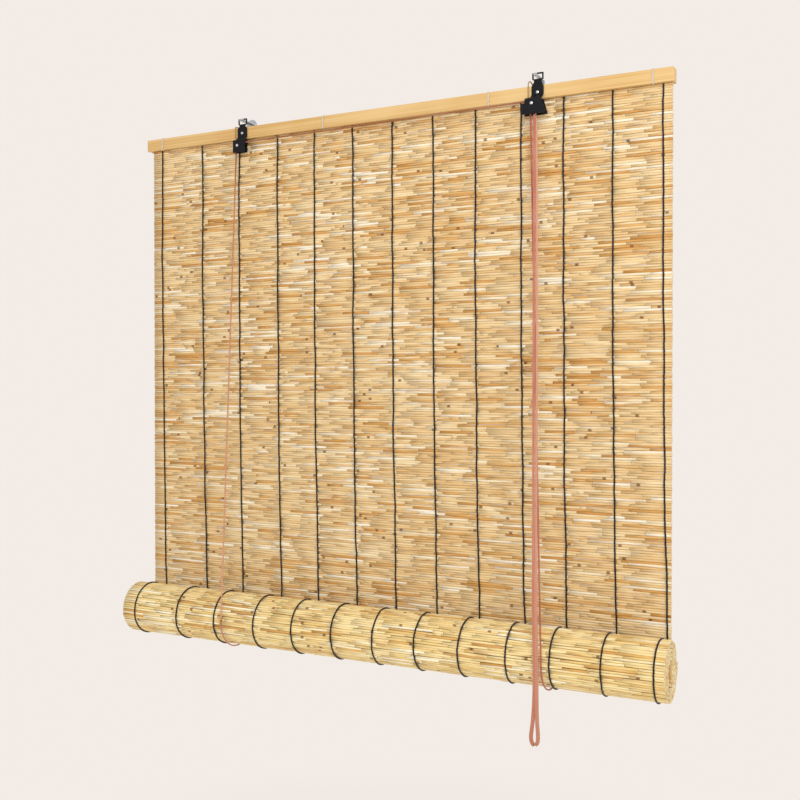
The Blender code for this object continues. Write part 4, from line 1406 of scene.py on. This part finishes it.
@dataclass
class HeadRail:
    """The two battens, and the cotton ties that hold them together.

    Attributes:
        materials: The shared finishes.
        thread: Diameter of the tie's thread.
        wraps: Number of turns of thread in a tie.
    """

    materials: Materials
    thread: float = 0.0011
    wraps: int = 3

    def dress(self) -> None:
        """Gives the three battens their bamboo."""
        for name in ("front_batten", "rear_batten", "bottom_batten"):
            self.materials.dress(name, Stock.BAMBOO)

    def build(self) -> None:
        """Builds each tie as turns of thread laid side by side round both battens."""
        for number in range(1, 5):
            node = f"batten_tie_{number}"
            low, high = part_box(node)
            middle = (low[0] + high[0]) / 2
            meshes = []
            for wrap in range(self.wraps):
                x = middle + (wrap - (self.wraps - 1) / 2) * self.thread
                line = self._wrap(x, low, high)
                section = Section(self.thread, self.thread, sides=8)
                meshes.append(sweep(node, line, section, closed=True))
            cotton = self.materials.of(Stock.COTTON)
            piece = piece_from(f"cotton_tie_{number}", joined(node, meshes), cotton)
            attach(piece, "head_rail")
            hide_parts(node)
            report(piece)

    def _wrap(self, x: float, low: Vector, high: Vector) -> np.ndarray:
        """One turn of thread round the rail, its corners rounded.

        Args:
            x: Its place along the rail.
            low: Lowest corner of the tie's box.
            high: Highest corner.

        Returns:
            The ring's points, one row each.
        """
        inset, corner = self.thread / 2, 0.0022
        y0, y1 = low[1] + inset - 0.0002, high[1] - inset + 0.0002
        z0, z1 = low[2] + inset - 0.0002, high[2] - inset + 0.0002
        points = []
        for cy, cz, start in ((y1, z1, 0), (y0, z1, 90), (y0, z0, 180), (y1, z0, 270)):
            my = cy - math.copysign(corner, cy - (y0 + y1) / 2)
            mz = cz - math.copysign(corner, cz - (z0 + z1) / 2)
            for step in range(5):
                a = math.radians(start + 90 * step / 4)
                points.append((x, my + corner * math.cos(a), mz + corner * math.sin(a)))
        ring = []
        for a, b in zip(points, points[1:] + points[:1]):
            parts = max(1, round(math.dist(a, b) / 0.004))
            ring += [np.array(a) + (np.array(b) - np.array(a)) * i / parts for i in range(parts)]
        return np.array(ring)


class Hand(Enum):
    """Which of the two lift cords."""

    LEFT = "left"
    RIGHT = "right"


@dataclass
class LiftCord:
    """One lift cord: down the front, round under the roll and up behind the sheet.

    Attributes:
        hand: Which cord.
        top: Where it enters its block.
        foot: Where it meets the roll's front.
        roll_angle: Angle of that point round the roll's axis.
        rear_top: Where it passes under the rear batten.
        rear_foot: Where it leaves the roll behind the sheet.
        stock: Its finish.
    """

    hand: Hand
    materials: Materials
    travel: Travel
    top: Point
    foot: Point
    roll_angle: float
    rear_top: Point
    rear_foot: Point
    stock: Stock
    diameter: float = 0.0034
    axis: tuple[float, float] = (-0.0798, -1.070)
    radius: float = 0.0606

    def build(self) -> None:
        """Builds the front strand, the sling and the rear strand."""
        material = self.materials.of(self.stock)
        section = Section(self.diameter, self.diameter * 0.85)
        side = self.hand.value
        for name, top, foot in (
            ("lift_strand", self.top, self.foot),
            ("rear_strand", self.rear_top, self.rear_foot),
        ):
            steps = np.linspace(0, 1, 120)[:, None]
            line = np.array(top) + (np.array(foot) - np.array(top)) * steps
            node = f"{side}_{name}"
            piece = piece_from(f"{side}_{name}_braid", sweep(node, line, section), material)
            self.travel.shorten(piece, top, foot[2])
            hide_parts(node)
            report(piece)
        angle = np.linspace(self.roll_angle, 2 * math.pi, 60)
        y = self.axis[0] + self.radius * np.cos(angle)
        z = self.axis[1] + self.radius * np.sin(angle)
        line = np.stack([np.full_like(y, self.foot[0]), y, z], axis=1)
        node = f"{side}_roll_sling"
        sling = piece_from(f"{side}_sling_braid", sweep(node, line, section), material)
        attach(sling, "cord_sling")
        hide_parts(node)
        report(sling)


@dataclass
class PullLoop:
    """The pull cord: out of the lock, down in front of the roll, round and back up.

    Attributes:
        route: The points that it hangs through.
        diameter: Its nominal diameter.
        flat: (width, thickness) of the braid, which hangs flattened.
    """

    materials: Materials
    travel: Travel
    route: tuple[Point, ...] = (
        (0.3358, -0.0462, -0.0565),
        (0.3361, -0.0482, -0.075),
        (0.3376, -0.0530, -0.120),
        (0.3420, -0.0660, -0.250),
        (0.3486, -0.0860, -0.450),
        (0.3553, -0.1060, -0.650),
        (0.3621, -0.1258, -0.850),
        (0.3659, -0.1358, -0.960),
        (0.3679, -0.1394, -1.010),
        (0.3694, -0.1410, -1.050),
        (0.3700, -0.1413, -1.085),
        (0.3697, -0.1413, -1.120),
        (0.3687, -0.1413, -1.150),
        (0.3669, -0.1413, -1.175),
        (0.3651, -0.1413, -1.190),
        (0.3638, -0.1413, -1.201),
        (0.3641, -0.1413, -1.2090),
        (0.3663, -0.1413, -1.2150),
        (0.3702, -0.1413, -1.2180),
        (0.3742, -0.1413, -1.2155),
        (0.3765, -0.1413, -1.2095),
        (0.3769, -0.1413, -1.201),
        (0.3763, -0.1413, -1.190),
        (0.3752, -0.1413, -1.175),
        (0.3745, -0.1413, -1.150),
        (0.3743, -0.1413, -1.120),
        (0.3742, -0.1413, -1.085),
        (0.3736, -0.1410, -1.050),
        (0.3722, -0.1394, -1.010),
        (0.3703, -0.1352, -0.960),
        (0.3668, -0.1240, -0.850),
        (0.3601, -0.1036, -0.650),
        (0.3532, -0.0832, -0.450),
        (0.3461, -0.0624, -0.250),
        (0.3400, -0.0484, -0.120),
        (0.3377, -0.0428, -0.075),
        (0.3358, -0.0405, -0.0565),
    )
    diameter: float = 0.0036
    flat: tuple[float, float] = (0.0046, 0.0028)
    frayed: float = 1.6  # how much wider the loose braid lies at the loop's end

    def build(self) -> None:
        line = smooth_line(self.route, 0.0035)
        section = Section(self.flat[0], self.flat[1], (0.95, 0.3, 0.0))
        low = (line[:, 2] - line[:, 2].min()) / (line[:, 2].max() - line[:, 2].min())
        swell = 1 + (self.frayed - 1) * np.clip(1 - low / 0.35, 0, 1)
        mesh = sweep("pull_loop", line, section, swell=swell)
        piece = piece_from("pull_loop", mesh, self.materials.of(Stock.PULL))
        self.travel.shorten(piece, self.route[0], min(p[2] for p in self.route) - self.diameter / 2)
        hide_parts("pull_cord")
        report(piece)


@dataclass
class BlockCords:
    """The cords inside the two blocks and the twine tied round the rail beside them.

    Attributes:
        left_axle: X, Z of the left sheave's axle.
        lock_axle: X, Z of the lock's axle.
        left_turn: Radius of the cord's turn over the left sheave.
        lock_turn: Radius over the lock's sheaves.
        mouth: Height at which the cords leave the blocks.
    """

    materials: Materials
    left_axle: tuple[float, float] = (-0.3495, -0.041)
    lock_axle: tuple[float, float] = (0.3308, -0.0363)
    left_turn: float = 0.0060
    lock_turn: float = 0.0050
    left_y: float = -0.0408
    rear_y: float = -0.0405
    front_y: float = -0.0462
    mouth: float = -0.0562
    diameter: float = 0.0034
    twine: float = 0.0024

    def build(self) -> None:
        """Builds the cross cord, the turn in the lock and both rail loops."""
        quarter = [math.pi - math.pi / 2 * i / 7 for i in range(8)]
        over_left = [self._round(self.left_axle, self.left_turn, a, self.left_y) for a in quarter]
        second = [math.pi / 2 * (1 - i / 7) for i in range(8)]
        over_lock = [self._round(self.lock_axle, self.lock_turn, a, self.front_y) for a in second]
        up = (self.left_axle[0] - self.left_turn, self.left_y, self.mouth)
        down = (self.lock_axle[0] + self.lock_turn, self.front_y, self.mouth)
        crossing = [tuple(np.array(over_left[-1]) * (1 - t) + np.array(over_lock[0]) * t)
                    for t in np.linspace(0.02, 0.98, 40)]
        self._cord("cross_cord", [up, *over_left, *crossing, *over_lock, down], Stock.RAIL_SHADED)
        half = [math.pi * (1 - i / 14) for i in range(15)]
        turn = [self._round(self.lock_axle, self.lock_turn, a, self.rear_y) for a in half]
        lift = (self.lock_axle[0] - self.lock_turn, self.rear_y, self.mouth)
        back = (self.lock_axle[0] + self.lock_turn, self.rear_y, self.mouth)
        self._cord("lock_cord_turn", [lift, *turn, back], Stock.PULL)
        self._rail_loop("left_rail_loop", -0.360, 0.001)
        self._rail_loop("right_rail_loop", 0.320, 0.010)

    @staticmethod
    def _round(axle: tuple[float, float], radius: float, angle: float, y: float) -> Point:
        """A point on a turn round an axle."""
        return (axle[0] + radius * math.cos(angle), y, axle[1] + radius * math.sin(angle))

    def _cord(self, node: str, points: Sequence[Point], stock: Stock) -> None:
        """Builds one braided cord that stays on the head rail.

        Args:
            node: The node that it stands for.
            points: Its centre line.
            stock: Its finish.
        """
        section = Section(self.diameter, self.diameter, (0.0, 1.0, 0.0))
        mesh = sweep(node, np.array(points, float), section)
        piece = piece_from(node + "_braid", mesh, self.materials.of(stock))
        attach(piece, "head_rail")
        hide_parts(node)
        report(piece)

    def _rail_loop(self, node: str, x: float, slack: float) -> None:
        """Builds the twine up the batten's face, over the rail and down behind.

        Args:
            node: The node that it stands for.
            x: Its place along the rail.
            slack: How far its arch stands over the rail.
        """
        low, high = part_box(node)
        r = self.twine / 2
        front, back, foot, tail = low[1] + r, high[1] - r, -0.022, -0.026
        middle, span, rise = (front + back) / 2, (back - front) / 2, 0.0015 + slack
        angles = [math.pi * i / 12 for i in range(1, 12)]
        arch = [
            (x, middle - span * math.cos(a), rise * math.sin(a) ** 0.6) for a in angles
        ]
        points = [(x, front, foot), (x, front, -0.012), (x, front, 0.0), *arch]
        points += [(x, back, 0.0), (x, back, -0.013), (x, back, tail)]
        line = smooth_line(points, 0.0015)
        mesh = sweep(node, line, Section(self.twine, self.twine, sides=10))
        piece = piece_from(node + "_twine", mesh, self.materials.of(Stock.TWINE))
        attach(piece, "head_rail")
        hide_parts(node)
        report(piece)


@dataclass
class Hardware:
    """The pulley block, the cord lock and the wall brackets, whose nodes keep their shape."""

    materials: Materials

    def dress(self) -> None:
        """Gives every hardware node its finish."""
        finishes = {
            Stock.ENAMEL: ("left_block_strap", "left_block_cheek", "lock_strap", "lock_cheek"),
            Stock.ZINC: ("left_block_axle", "left_block_screw", "lock_axle", "lock_screw"),
            Stock.NYLON: ("left_sheave", "lock_sheave_front", "lock_sheave_rear", "lock_cam"),
            Stock.GALVANISED: ("left_wall_bracket", "right_wall_bracket"),
        }
        for stock, nodes in finishes.items():
            for node in nodes:
                self.materials.dress(node, stock)


# ---------------------------------------------------------------- studio


@dataclass(frozen=True)
class Studio:
    """A pale floor under the blind, soft light and the camera.

    Attributes:
        floor: Height of the floor.
        wall: Colour of the pale surroundings.
        ambient: How brightly they light the blind, against how bright they look.
        camera_at: Where the camera stands.
        camera_turn: Its rotation in degrees.
        lens: Its focal length in millimetres.
    """

    floor: float = -2.05
    wall: str = "#F3ECE6"
    ambient: float = 0.81
    camera_at: Point = (0.96, -1.853, -0.574)
    camera_turn: Point = (89.31, 0.0, 26.7)
    lens: float = 45.0

    def build(self) -> None:
        """Builds the camera, the floor, the lights and the surroundings."""
        camera = bpy.data.objects.new("camera", bpy.data.cameras.new("camera"))
        camera.location = self.camera_at
        camera.rotation_euler = [math.radians(a) for a in self.camera_turn]
        camera.data.lens, camera.data.sensor_width = self.lens, 36.0
        bpy.context.scene.collection.objects.link(camera)
        bpy.context.scene.camera = camera
        self._floor()
        bpy.context.scene.view_settings.view_transform = "Standard"
        world = bpy.data.worlds.new("studio")
        bpy.context.scene.world = world
        world.use_nodes = True
        sky = world.node_tree.nodes["Background"]
        sky.inputs["Color"].default_value = linear(self.wall)
        seen = add_node(world.node_tree, "ShaderNodeLightPath").outputs["Is Camera Ray"]
        strength = add_node(
            world.node_tree, "ShaderNodeMapRange", None, {"Value": seen, "To Min": self.ambient}
        )
        world.node_tree.links.new(strength.outputs["Result"], sky.inputs["Strength"])
        self._light("key", (1.5, -2.3, 0.5), 2.2, 45.0)
        self._light("fill", (-1.9, -2.6, 0.2), 2.0, 2.0)
        self._light("back", (0.3, 2.4, 1.2), 2.4, 14.0)

    def _light(self, name: str, place: Point, size: float, power: float) -> None:
        """Adds a soft square light that faces the blind's middle."""
        light = bpy.data.lights.new(name, "AREA")
        light.size, light.energy = size, power
        lamp = bpy.data.objects.new(name, light)
        lamp.location = place
        towards = Vector((0.0, -0.05, -0.6)) - Vector(place)
        lamp.rotation_euler = towards.to_track_quat("-Z", "Y").to_euler()
        bpy.context.scene.collection.objects.link(lamp)

    def _floor(self) -> None:
        """Adds the floor, which fades into the surroundings far from the blind."""
        count, radius = 64, 14.0
        verts = [(0.0, 0.0, self.floor)]
        for i in range(count):
            a = 2 * math.pi * i / count
            verts.append((radius * math.cos(a), radius * math.sin(a), self.floor))
        faces = [(0, 1 + i, 1 + (i + 1) % count) for i in range(count)]
        mesh = bpy.data.meshes.new("floor")
        mesh.from_pydata(verts, [], faces)
        material = new_material("matt_pale_floor", 0.9)
        tree = material.node_tree
        add = partial(add_node, tree)
        shader = tree.nodes["Principled BSDF"]
        shader.inputs["Base Color"].default_value = linear("#F3EFEC")
        place = add("ShaderNodeTexCoord").outputs["Object"]
        flat = add(
            "ShaderNodeVectorMath", {"operation": "MULTIPLY"}, {0: place, 1: (1.0, 1.0, 0.0)}
        )
        far = add("ShaderNodeVectorMath", {"operation": "LENGTH"}, {0: flat})
        share = add(
            "ShaderNodeMapRange",
            {"interpolation_type": "SMOOTHSTEP"},
            {"Value": far.outputs["Value"], "From Min": 0.5, "From Max": 1.9, "To Min": 0.2},
        )
        glow = add("ShaderNodeEmission", None, {"Color": linear(self.wall), "Strength": 1.0})
        mixed = add("ShaderNodeMixShader", None, {0: share.outputs["Result"], 1: shader, 2: glow})
        output = next(n for n in tree.nodes if n.type == "OUTPUT_MATERIAL")
        tree.links.new(mixed.outputs[0], output.inputs["Surface"])
        piece_from("floor", mesh, material)


def main() -> None:
    """Builds the studio and the blind in order."""
    logging.basicConfig(level=logging.INFO, format="%(message)s")
    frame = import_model()
    Studio().build()
    materials, travel = Materials(frame["nodes"]), Travel()
    PullLoop(materials, travel).build()
    LiftCord(
        Hand.LEFT,
        materials,
        travel,
        top=(-0.3555, -0.0408, -0.0568),
        foot=(-0.325, -0.14017, -1.06352),
        roll_angle=math.radians(174),
        rear_top=(-0.360, -0.0192, -0.0284),
        rear_foot=(-0.325, -0.0192, -1.0697),
        stock=Stock.FADED,
    ).build()
    LiftCord(
        Hand.RIGHT,
        materials,
        travel,
        top=(0.3258, -0.0405, -0.0568),
        foot=(0.3815, -0.14017, -1.06352),
        roll_angle=math.radians(174),
        rear_top=(0.320, -0.0192, -0.0284),
        rear_foot=(0.3815, -0.0192, -1.0697),
        stock=Stock.RUST,
    ).build()
    BlockCords(materials).build()
    sheet = ReedSheet(materials, travel)
    sheet.build()
    RolledReeds(materials, sheet.warps).build()
    rail = HeadRail(materials)
    rail.dress()
    rail.build()
    Hardware(materials).dress()


if __name__ == "__main__":
    main()
